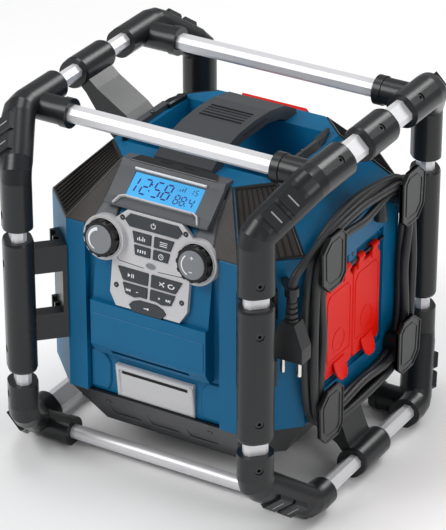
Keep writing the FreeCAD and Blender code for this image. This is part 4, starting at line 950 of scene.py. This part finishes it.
@dataclass
class Readout:
    """The lit display: seven-bar numbers, its pale trims (the white upper one a chrome strip with its reflection
    painted as white) and the visor above it.
    """

    slant: float = 0.14
    lit: tuple[str, ...] = ("abcdef", "bc", "abged", "abgcd", "fgbc", "afgcd", "afgedc", "abc", "abcdefg", "abcdfg")
    clock: Spots = ((1, -42.5), (2, -28.5), (5, -14.5), (8, -3.0))
    station: Spots = ((8, 12.0), (8, 19.5), (4, 28.8))
    level: Spots = ((1, 26.0), (5, 31.5))
    visor_shape: Outline = ((-52, -5.5), (52, -5.5), (46, 7), (-46, 7))

    def digit(self, figure: int, x: float, y: float, wide: float, high: float, thick: float) -> list[np.ndarray]:
        """The bars of one figure, slanted to the right.

        Args:
            figure: 0 to 9.
            x: left of the figure.
            y: foot of the figure.
            wide: its width.
            high: its height.
            thick: width of a bar.

        Returns:
            One outline per lit bar.
        """
        gap, half = thick * 0.62, high / 2
        ends = {"a": ((gap, high), (wide - gap, high)), "g": ((gap, half), (wide - gap, half)),
                "d": ((gap, 0), (wide - gap, 0)), "f": ((0, half + gap), (0, high - gap)),
                "b": ((wide, half + gap), (wide, high - gap)), "e": ((0, gap), (0, half - gap)),
                "c": ((wide, gap), (wide, half - gap))}
        shear = np.array([[1, 0], [self.slant, 1]])
        return [bar(*ends[name], thick) @ shear + (x, y) for name in self.lit[figure]]

    def figures(self) -> list[np.ndarray]:
        """Everything that the display shows.

        Returns:
            Outlines of the clock, the station, the level and the signal steps.
        """
        rows = ((self.clock, (-8.5, 7.6, 17.0, 1.7), 0.9, ((-18.4, -3.2), (-17.4, 4.0))),
                (self.station, (-9.5, 5.0, 9.6, 1.2), 0.6, ((26.4, -9.3),)),
                (self.level, (4.6, 3.2, 5.6, 0.7), 0.0, ()))
        bars: list[np.ndarray] = []
        for places, sizes, dot, dots in rows:
            bars += [piece for figure, x in places for piece in self.digit(figure, x, *sizes)]
            bars += [disc(dot, 12) + spot for spot in dots]
        return bars + [bar((12 + 2.6 * step, 5.0), (12.6 + 2.6 * step, 5.4 + 1.5 * step), 0.9) for step in range(4)]

    def build(self) -> None:
        """Figures on the glass, then trims and visor details on the hood."""
        plates("display_figures", DISPLAY, self.figures(), 0.2, Finish.DIGIT, edge=0.04, base=-0.05)
        # The top trim is a chrome strip drawn flat white: its white is a painted reflection of the chrome
        plates("display_top_chrome_reflection", DISPLAY, level_bars(42, (16.2,), 2.0), 4.4, Finish.WHITE, edge=0.5, base=-1.0)
        lower = [bar(*ends, 1.6) for ends in (
            ((-46, -17.5), (-39, -14.6)), ((-39, -15.3), (39, -15.3)), ((39, -14.6), (46, -17.5)),
            ((45.4, -17), (50, -26)), ((-50, -26), (-45.4, -17)))]
        plates("display_lower_trim", DISPLAY, lower, 3.6, Finish.SILVER, edge=0.4, base=-0.6)
        visor = tilted_front(0, -99, 351.4, 84)
        plates("hood_visor", visor, [self.visor_shape], 1.5, Finish.BLACK, edge=0.6)
        for side, name in LEFT_RIGHT:
            cross_screw(f"hood_screw_{name}", visor.at(side * 38, 0.5), 2.8)
        # The slots are dark bars of painted shade on the visor
        plates("hood_slots", visor, [bar((side * 14 - 7, 3.5), (side * 14 + 7, 3.5), 2.2) for side in (-1, 1)], 1.7,
               Finish.BLACK_AND_SHADE, edge=0.15)


@dataclass
class Grilles:
    """Dark mesh that runs from each corner loudspeaker to the hood, and the frames round the corner covers."""

    shoulder: Triple = (102.4, 149.0, 290.0)
    deck: Triple = (64.0, 96.0, 346.5)
    cover_low: tuple[float, float] = (152.0, 99.4)
    cover_high: tuple[float, float] = (98.0, 62.0)
    hood_x: float = 62.0
    skirt: Outline = ((45, -0.5), (74, -0.5), (63.5, 40), (63.5, 62), (50, 62))

    def wing(self, side: int, name: str) -> None:
        """The mesh between one front corner cover and the hood, and the hood's skirt beside it.

        Args:
            side: 1 for the right, -1 for the left.
            name: the side's name.
        """
        rise = np.array([0.0, self.shoulder[1] - self.deck[1], self.deck[2] - self.shoulder[2]])
        face = Face((0.0, -self.shoulder[1], self.shoulder[2]), (1.0, 0.0, 0.0), tuple(unit(rise)))
        top, near = float(np.linalg.norm(rise)) - 1.5, self.hood_x
        mesh = ((near, 1.5), (self.shoulder[0] - 1, 1.5), (self.deck[0] + 0.6, top), (near, top))
        plates(f"mesh_wing_{name}", face, [mirrored(mesh, side)], 1.8, Finish.GRILLE, edge=0.5)
        plates(f"hood_skirt_{name}", face, [mirrored(self.skirt, side)], 3.4, Finish.GREY, edge=1.2)

    def corner_ribs(self, side_x: int, side_y: int, name: str) -> None:
        """Ribs and a rim over a corner cover: straight bars up its slope.

        Args:
            side_x: 1 for the right, -1 for the left.
            side_y: 1 for the rear, -1 for the front.
            name: the corner's name.
        """
        low = np.array([self.shoulder[:2], self.cover_low])
        high = np.array([self.deck[:2], self.cover_high])
        foot, head = ((*(ends.mean(0) * (side_x, side_y)), z)
                      for ends, z in ((low, self.shoulder[2]), (high, self.deck[2])))
        up = np.subtract(head, foot)
        length = float(np.linalg.norm(up))
        face = Face(foot, tuple(unit(np.cross(up, (side_x, side_y, 0.0)))), tuple(up / length))
        half_low, half_high = np.linalg.norm(low[0] - low[1]) / 2, np.linalg.norm(high[0] - high[1]) / 2
        shares = np.linspace(-0.86, 0.86, 9)
        ribs = [bar((half_low * share, 3), (half_high * share, length - 3), 1.1) for share in shares]
        plates(f"cover_ribs_{name}", face, ribs, 1.2, Finish.BLACK_AND_SHADE, edge=0.3)
        rim = ((1 - half_low, 1), (half_low - 1, 1), (half_high - 1, length - 1), (1 - half_high, length - 1))
        frame_plate(f"cover_rim_{name}", face, rim, 3.0, 1.6, Finish.BLACK)

    def build(self) -> None:
        """Both wings and all four corner covers."""
        for side_x, across in LEFT_RIGHT:
            self.wing(side_x, across)
        for side_x, across in LEFT_RIGHT:
            for side_y, end in FRONT_REAR:
                self.corner_ribs(side_x, side_y, f"{end}_{across}")


@dataclass
class ElbowMarks:
    """Thin pale bars on the two raised blocks of every elbow."""

    lift: float = 18.2
    pitch: float = 11.5
    ends: tuple[tuple[int, str, Triple, Triple], ...] = (
        (1, "top", (170, 129, 390), (141, 180.5, 349)), (-1, "bottom", (170, 117, 17.8), (141, 180.5, 67)))

    def elbow(self, name: str, start: np.ndarray, end: np.ndarray, outward: Triple) -> None:
        """One elbow's bars, half way along its diagonal.

        Args:
            name: the elbow's name.
            start: the diagonal's end at the side rail.
            end: its end at the post.
            outward: the way that the elbow looks.
        """
        run = unit(end - start)
        face = Face(tuple((start + end) / 2), tuple(run), tuple(unit(np.cross(outward, run))))
        marks = upright_bars((-self.pitch, self.pitch), -7.5, 7.5, 1.5)
        plates(f"elbow_marks_{name}", face, marks, self.lift + 0.25, Finish.MARK, edge=0.1, base=self.lift - 1)

    def build(self) -> None:
        """One piece per elbow."""
        for up, level_name, corner, knee in self.ends:
            for side_x, across in LEFT_RIGHT:
                for side_y, end in FRONT_REAR:
                    flip = np.array([side_x, side_y, 1])
                    self.elbow(f"{level_name}_{across}_{end}", corner * flip, knee * flip, (side_x, side_y, up))


@dataclass
class SocketSide:
    """The two lids with their hinge barrels and pull tongues, the outlets behind them, and the line round them."""

    lid_x: float = 152.6
    lid_y: float = 30.0
    lid_z: float = 178.0
    outlet_x: float = 148.3
    outlets: tuple[tuple[float, str], ...] = ((153.0, "low"), (199.0, "high"))
    hinge: tuple[float, float] = (151.3, 241.0)
    straps: tuple[float, float] = (-15.0, 15.0)
    strap_width: float = 13.0
    lid_shape: Outline = ((-26, -51), (26, -51), (29.4, -47), (29.4, 49), (25, 55), (-25, 55), (-29.4, 49),
                          (-29.4, -47))
    lid_line: Outline = ((-22, -33), (22, -33), (25, -29), (25, 38), (19, 45), (-19, 45), (-25, 38), (-25, -29))
    boss: Outline = ((-9, -13), (9, -13), (9, 2), (5, 7), (-5, 7), (-9, 2))
    surround: Outline = ((-63, -66), (63, -66), (66, -62), (66, 62), (60, 68), (-60, 68), (-66, 62), (-66, -62))

    def tongue(self, name: str, y: float, body: str) -> None:
        """A scooped pull tongue.

        Its first parameter runs down the tongue, along a curve that leaves the lid and turns outwards; its
        second runs across, on a half width of w * sqrt(1 - s^4), with the edges lifted by a cupped square.

        Args:
            name: the piece's name.
            y: its middle's Y.
            body: the lid's body.
        """
        down = np.linspace(0, 0.985, 14)[:, None]
        across = np.linspace(-1, 1, 15)[None, :]
        half = 12.5 * np.sqrt(1 - down ** 4)
        x = self.lid_x + 0.8 + 6.2 * down ** 1.6 + 1.6 * across ** 2 * down
        z = 141 - 22 * down + 0.8 * across ** 2
        grid = np.stack([x + 0 * across, y + half * across, z], -1)
        rows, columns = grid.shape[:2]
        index = np.arange(rows * columns).reshape(rows, columns)
        quads = np.stack([index[:-1, :-1], index[1:, :-1], index[1:, 1:], index[:-1, 1:]], -1).reshape(-1, 4)
        piece = finish_piece(name, grid.reshape(-1, 3), quads.tolist(), Finish.RED, body)
        wall = piece.modifiers.new("wall", "SOLIDIFY")
        wall.thickness, wall.offset = 1.8 * MM, 0.0
        soft = piece.modifiers.new("soft", "SUBSURF")
        soft.levels = soft.render_levels = 1

    def outlet(self, name: str, y: float, z: float) -> None:
        """One round outlet: a raised ring, a dark well and two contact holes of painted shade.

        Args:
            name: the start of its pieces' names.
            y: its middle's Y.
            z: its middle's Z.
        """
        face = sideways(self.outlet_x, y, z)
        frame_plate(f"{name}_ring", face, disc(20.5, 48), 1.6, 0.3, Finish.BLACK)
        plates(f"{name}_well", face, [disc(18.4, 48)], 0.12, Finish.DARK_GREY, edge=0.05)
        # The contact holes are flat black discs of painted shade
        plates(f"{name}_holes", face, [disc(2.6, 20) + (spot, 0) for spot in (-9.5, 9.5)], 0.25, Finish.BLACK_AND_SHADE,
               edge=0.05)

    def lid(self, node: str, y: float, body: str) -> None:
        """One lid: its panel, straps, hinge barrels, raised lines and tongue, in the place of its CAD node.

        Args:
            node: the CAD node that it replaces.
            y: its middle's Y.
            body: the lid's body.
        """
        face, half = sideways(self.lid_x, y, self.lid_z), self.strap_width / 2
        panel = plates(f"{node}_panel", face, [self.lid_shape], 0.0, Finish.RED, body, edge=1.3, base=-3.8)
        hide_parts(node)
        straps = [((x - half, 50), (x + half, 50), (x + half, 66), (x - half, 66)) for x in self.straps]
        plates(f"{node}_straps", face, straps, 1.4, Finish.RED, body, edge=0.9, base=-2.6)
        for index, x in enumerate(self.straps):
            barrel = Face((self.hinge[0], y + x - half, self.hinge[1]), (0.0, 0.0, 1.0), (1.0, 0.0, 0.0))
            plates(f"{node}_barrel_{index}", barrel, [disc(4.0)], self.strap_width, Finish.RED, body, edge=0.6,
                   base=0.0)
        frame_plate(f"{node}_line", face, self.lid_line, 1.3, 0.6, Finish.RED, body)
        frame_plate(f"{node}_seal", face.at(0, -14), disc(13, 40), 0.9, 0.5, Finish.RED, body)
        self.tongue(f"{node}_tongue", y, body)

    def build(self) -> None:
        """Both lids, the outlets behind them, and the line round them."""
        for side, end in FRONT_REAR:
            node = f"{end}_socket_lid"
            self.lid(node, side * self.lid_y, body_name(node))
        for side, end in FRONT_REAR:
            for z, height in self.outlets:
                self.outlet(f"outlet_{end}_{height}", side * self.lid_y, z)
        plates("hinge_boss", sideways(147.0, 0.0, 249.0), [self.boss], 4.4, Finish.BLUE, edge=1.2)
        cross_screw("hinge_boss_screw", sideways(151.3, 0.0, 250.0), 2.6)
        frame_plate("outlet_surround", sideways(147.1, 0, 184), self.surround, 2.4, 1.8, Finish.BLUE)


@dataclass
class HookPlates:
    """The wide angular plates in front of the cable hooks, with a raised edge and an inner line."""

    plate_x: float = 173.0
    hook_y: float = 81.0
    levels: tuple[tuple[float, str], ...] = ((110.0, "low"), (287.0, "high"))
    shape: Outline = ((-20, -22), (-9, -31), (14, -31), (28, -18), (30, 18), (14, 31), (-9, 31), (-20, 22))

    def build(self) -> None:
        """One plate, edge and line for each hook."""
        for side, end in FRONT_REAR:
            outline = mirrored(self.shape, side)
            for z, height in self.levels:
                face = sideways(self.plate_x, side * self.hook_y, z)
                where = f"{end}_{height}"
                plates(f"hook_plate_{where}", face, [outline], 3.2, Finish.BLACK, edge=0.8, base=0.0)
                frame_plate(f"hook_edge_{where}", face, outline, 2.2, 4.3, Finish.BLACK)
                frame_plate(f"hook_line_{where}", face, inset(outline, 7.5), 1.3, 3.9, Finish.BLACK)


@dataclass
class Top:
    """Angular deck frames, ribs on the clamp arms, a dark sheet of painted shade under the handle, and the handle's
    grip lines.
    """

    deck_z: float = 346.5
    screw_spot: Triple = (90.5, 0.0, 353.4)
    arm_foot: tuple[float, float] = (152.0, 290.0)
    arm_rise: tuple[float, float] = (54.0, 56.5)
    arm_places: tuple[float, ...] = (46.5, 52.5, 58.5, 64.5, 70.5)
    handle_x: float = 33.9
    # Outline of the painted shade under the handle
    shade_below: Outline = ((-26, 358.2), (26, 358.2), (27, 361), (-27, 361))
    frame_arms: tuple[Outline, ...] = (
        ((86, 29), (96, 27), (95, 40), (87, 64), (83.5, 60)),
        ((96, -27), (86, -29), (83.5, -60), (87, -64), (95, -40)))

    def build(self) -> None:
        """Deck, arms and handle in turn."""
        foot_x, foot_z = self.arm_foot
        for side, name in LEFT_RIGHT:
            plates(f"deck_frame_{name}", level(0.0, 0.0, self.deck_z), [mirrored(arm, side) for arm in self.frame_arms],
                   6.5, Finish.BLACK, edge=1.6)
            cross_screw(f"deck_screw_{name}", level(side * self.screw_spot[0], *self.screw_spot[1:]), 2.8)
            rise = unit((-side * self.arm_rise[0], 0.0, self.arm_rise[1]))
            slope = Face((side * foot_x, 0.0, foot_z), (0.0, float(side), 0.0), tuple(rise))
            plates(f"clamp_ribs_{name}", slope, level_bars(19.5, self.arm_places, 2.8), 14.8, Finish.BLACK, edge=0.7,
                   base=12.0)
        # A dark sheet of painted shade under the handle
        plates("handle_shade_below", sideways(-31.0, 0.0, 0.0), [self.shade_below], 62.0, Finish.BLACK_AND_SHADE, edge=0.8)
        plates("handle_grip_lines", level(0.0, 0.0, 0.0), level_bars(25, (-12.0, -6.0, 0.0, 6.0, 12.0), 1.6), 373.5,
               Finish.BLACK_AND_SHADE, edge=0.3, base=370.5)
        for side, name in LEFT_RIGHT:
            plates(f"handle_seam_{name}", sideways(side * self.handle_x, 0.0, 0.0, float(side)),
                   level_bars(24, (366,), 1.0), 0.5, Finish.BLACK_AND_SHADE, edge=0.1)


@dataclass
class Front:
    """The badge's raised frame and slot, the angular pads beside it, and the base's screws."""

    badge_foot: Triple = (0.0, -146.4, 134.0)
    badge_rise: Triple = (0.0, -5.1, 39.0)
    base_foot: Triple = (0.0, -147.0, 95.0)
    base_rise: Triple = (0.0, -33.3, 52.0)
    mouth_rise: Triple = (0.0, -17.0, 14.0)
    wall_y: float = -141.0
    band_y: float = -158.0
    mouth_z: float = 159.0
    badge: Outline = ((-46.5, -38.8), (46.5, -38.8), (46.5, -3), (43, -0.6), (-43, -0.6), (-46.5, -3))
    pad: Outline = ((58, 98.5), (79, 98.5), (79, 142), (63, 142), (55, 131), (55, 108))
    mouth: Outline = ((-45, -15.0), (45, -15.0), (48, -5.5), (-48, -5.5))
    step: Outline = ((-67, 163), (67, 163), (67, 196), (-67, 196))

    def sloping(self, foot: Triple, rise: Triple) -> Face:
        """A plane as wide as X whose up direction is a rise."""
        return Face(foot, (1.0, 0.0, 0.0), tuple(unit(rise)))

    def build(self) -> None:
        """Badge, pads, base and band in turn."""
        badge, base = self.sloping(self.badge_foot, self.badge_rise), self.sloping(self.base_foot, self.base_rise)
        frame_plate("badge_rim", badge, self.badge, 4.2, 1.9, Finish.SILVER)
        # The badge's slot is a thin dark strip of painted shade
        plates("badge_slot_shade", badge, level_bars(39.5, (-8.0,), 3.6), 0.15, Finish.BLACK_AND_SHADE, edge=0.05)
        for side, name in LEFT_RIGHT:
            plates(f"front_pad_{name}", tilted_front(0.0, self.wall_y, 0.0), [mirrored(self.pad, side)], 2.4,
                   Finish.BLUE, edge=1.3)
            cross_screw(f"base_screw_{name}", base.at(side * 62, -18), 3.4)
        # The slot's mouth is a dark sheet of painted shade
        plates("slot_mouth", self.sloping((0.0, self.band_y, self.mouth_z), self.mouth_rise), [self.mouth], 0.2,
               Finish.BLACK_AND_SHADE, edge=0.1)
        plates("band_step", tilted_front(0.0, self.band_y, 0.0), [self.step], 0.7, Finish.BLUE, edge=0.5)


@dataclass
class Rear:
    """Raised fields, hinge covers, grips and screws of the rear door and the closed side."""

    wall_y: float = 149.0
    wall_x: float = -147.0
    door_line: Outline = ((-50, 124), (50, 124), (53, 130), (53, 272), (46, 282), (-46, 282), (-53, 272), (-53, 130))
    door_grip: Outline = ((-24, 262), (24, 262), (19, 271), (-19, 271))
    pad: Outline = ((66, 130), (92, 130), (96, 136), (96, 250), (88, 262), (70, 262), (66, 254))
    side_line: Outline = ((-52, 112), (52, 112), (58, 120), (58, 262), (46, 276), (-46, 276), (-58, 262), (-58, 120))
    side_screws: Spots = ((-60, 104), (60, 104), (-60, 282), (60, 282))

    def build(self) -> None:
        """The door first, then the left side."""
        back = Face((0.0, self.wall_y, 0.0), (-1.0, 0.0, 0.0), (0.0, 0.0, 1.0))
        door = body_name("rear_door")
        frame_plate("door_field", back, self.door_line, 3.0, 1.6, Finish.BLUE, door)
        plates("door_ribs", back, level_bars(38, (146, 158, 170, 182), 3.0), 1.5, Finish.BLUE, door, edge=0.6)
        plates("door_grip", back, [self.door_grip], 3.2, Finish.DARK_GREY, door, edge=1.2)
        for side, name in ((-1, "right"), (1, "left")):
            for z in (110, 278):
                cross_screw(f"rear_screw_{name}_{z}", back.at(side * 84, z), 3.2)
            plates(f"rear_pad_{name}", back, [mirrored(self.pad, side)], 1.8, Finish.BLUE, edge=1.0)
        closed = sideways(self.wall_x, 0.0, 0.0, -1.0)
        frame_plate("side_field", closed, self.side_line, 3.2, 1.8, Finish.BLUE)
        plates("side_ribs", closed, level_bars(40, range(136, 248, 14), 3.2), 1.6, Finish.BLUE, edge=0.7)
        for y, z in self.side_screws:
            cross_screw(f"side_screw_{y + 60}_{z}", closed.at(y, z), 3.0)


def main() -> None:
    """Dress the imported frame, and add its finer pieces."""
    logging.basicConfig(level=logging.INFO, format="%(message)s")
    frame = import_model()
    MATERIALS.update({finish: finish.value.build() for finish in Finish})
    Studio().build()
    NodeFinish().dress(frame["nodes"])
    for trim in (MainsCord, Knobs, PanelPrint, Readout, Grilles, ElbowMarks, SocketSide, HookPlates, Top, Front, Rear):
        trim().build()
    bpy.context.view_layer.update()


if __name__ == "__main__":
    main()
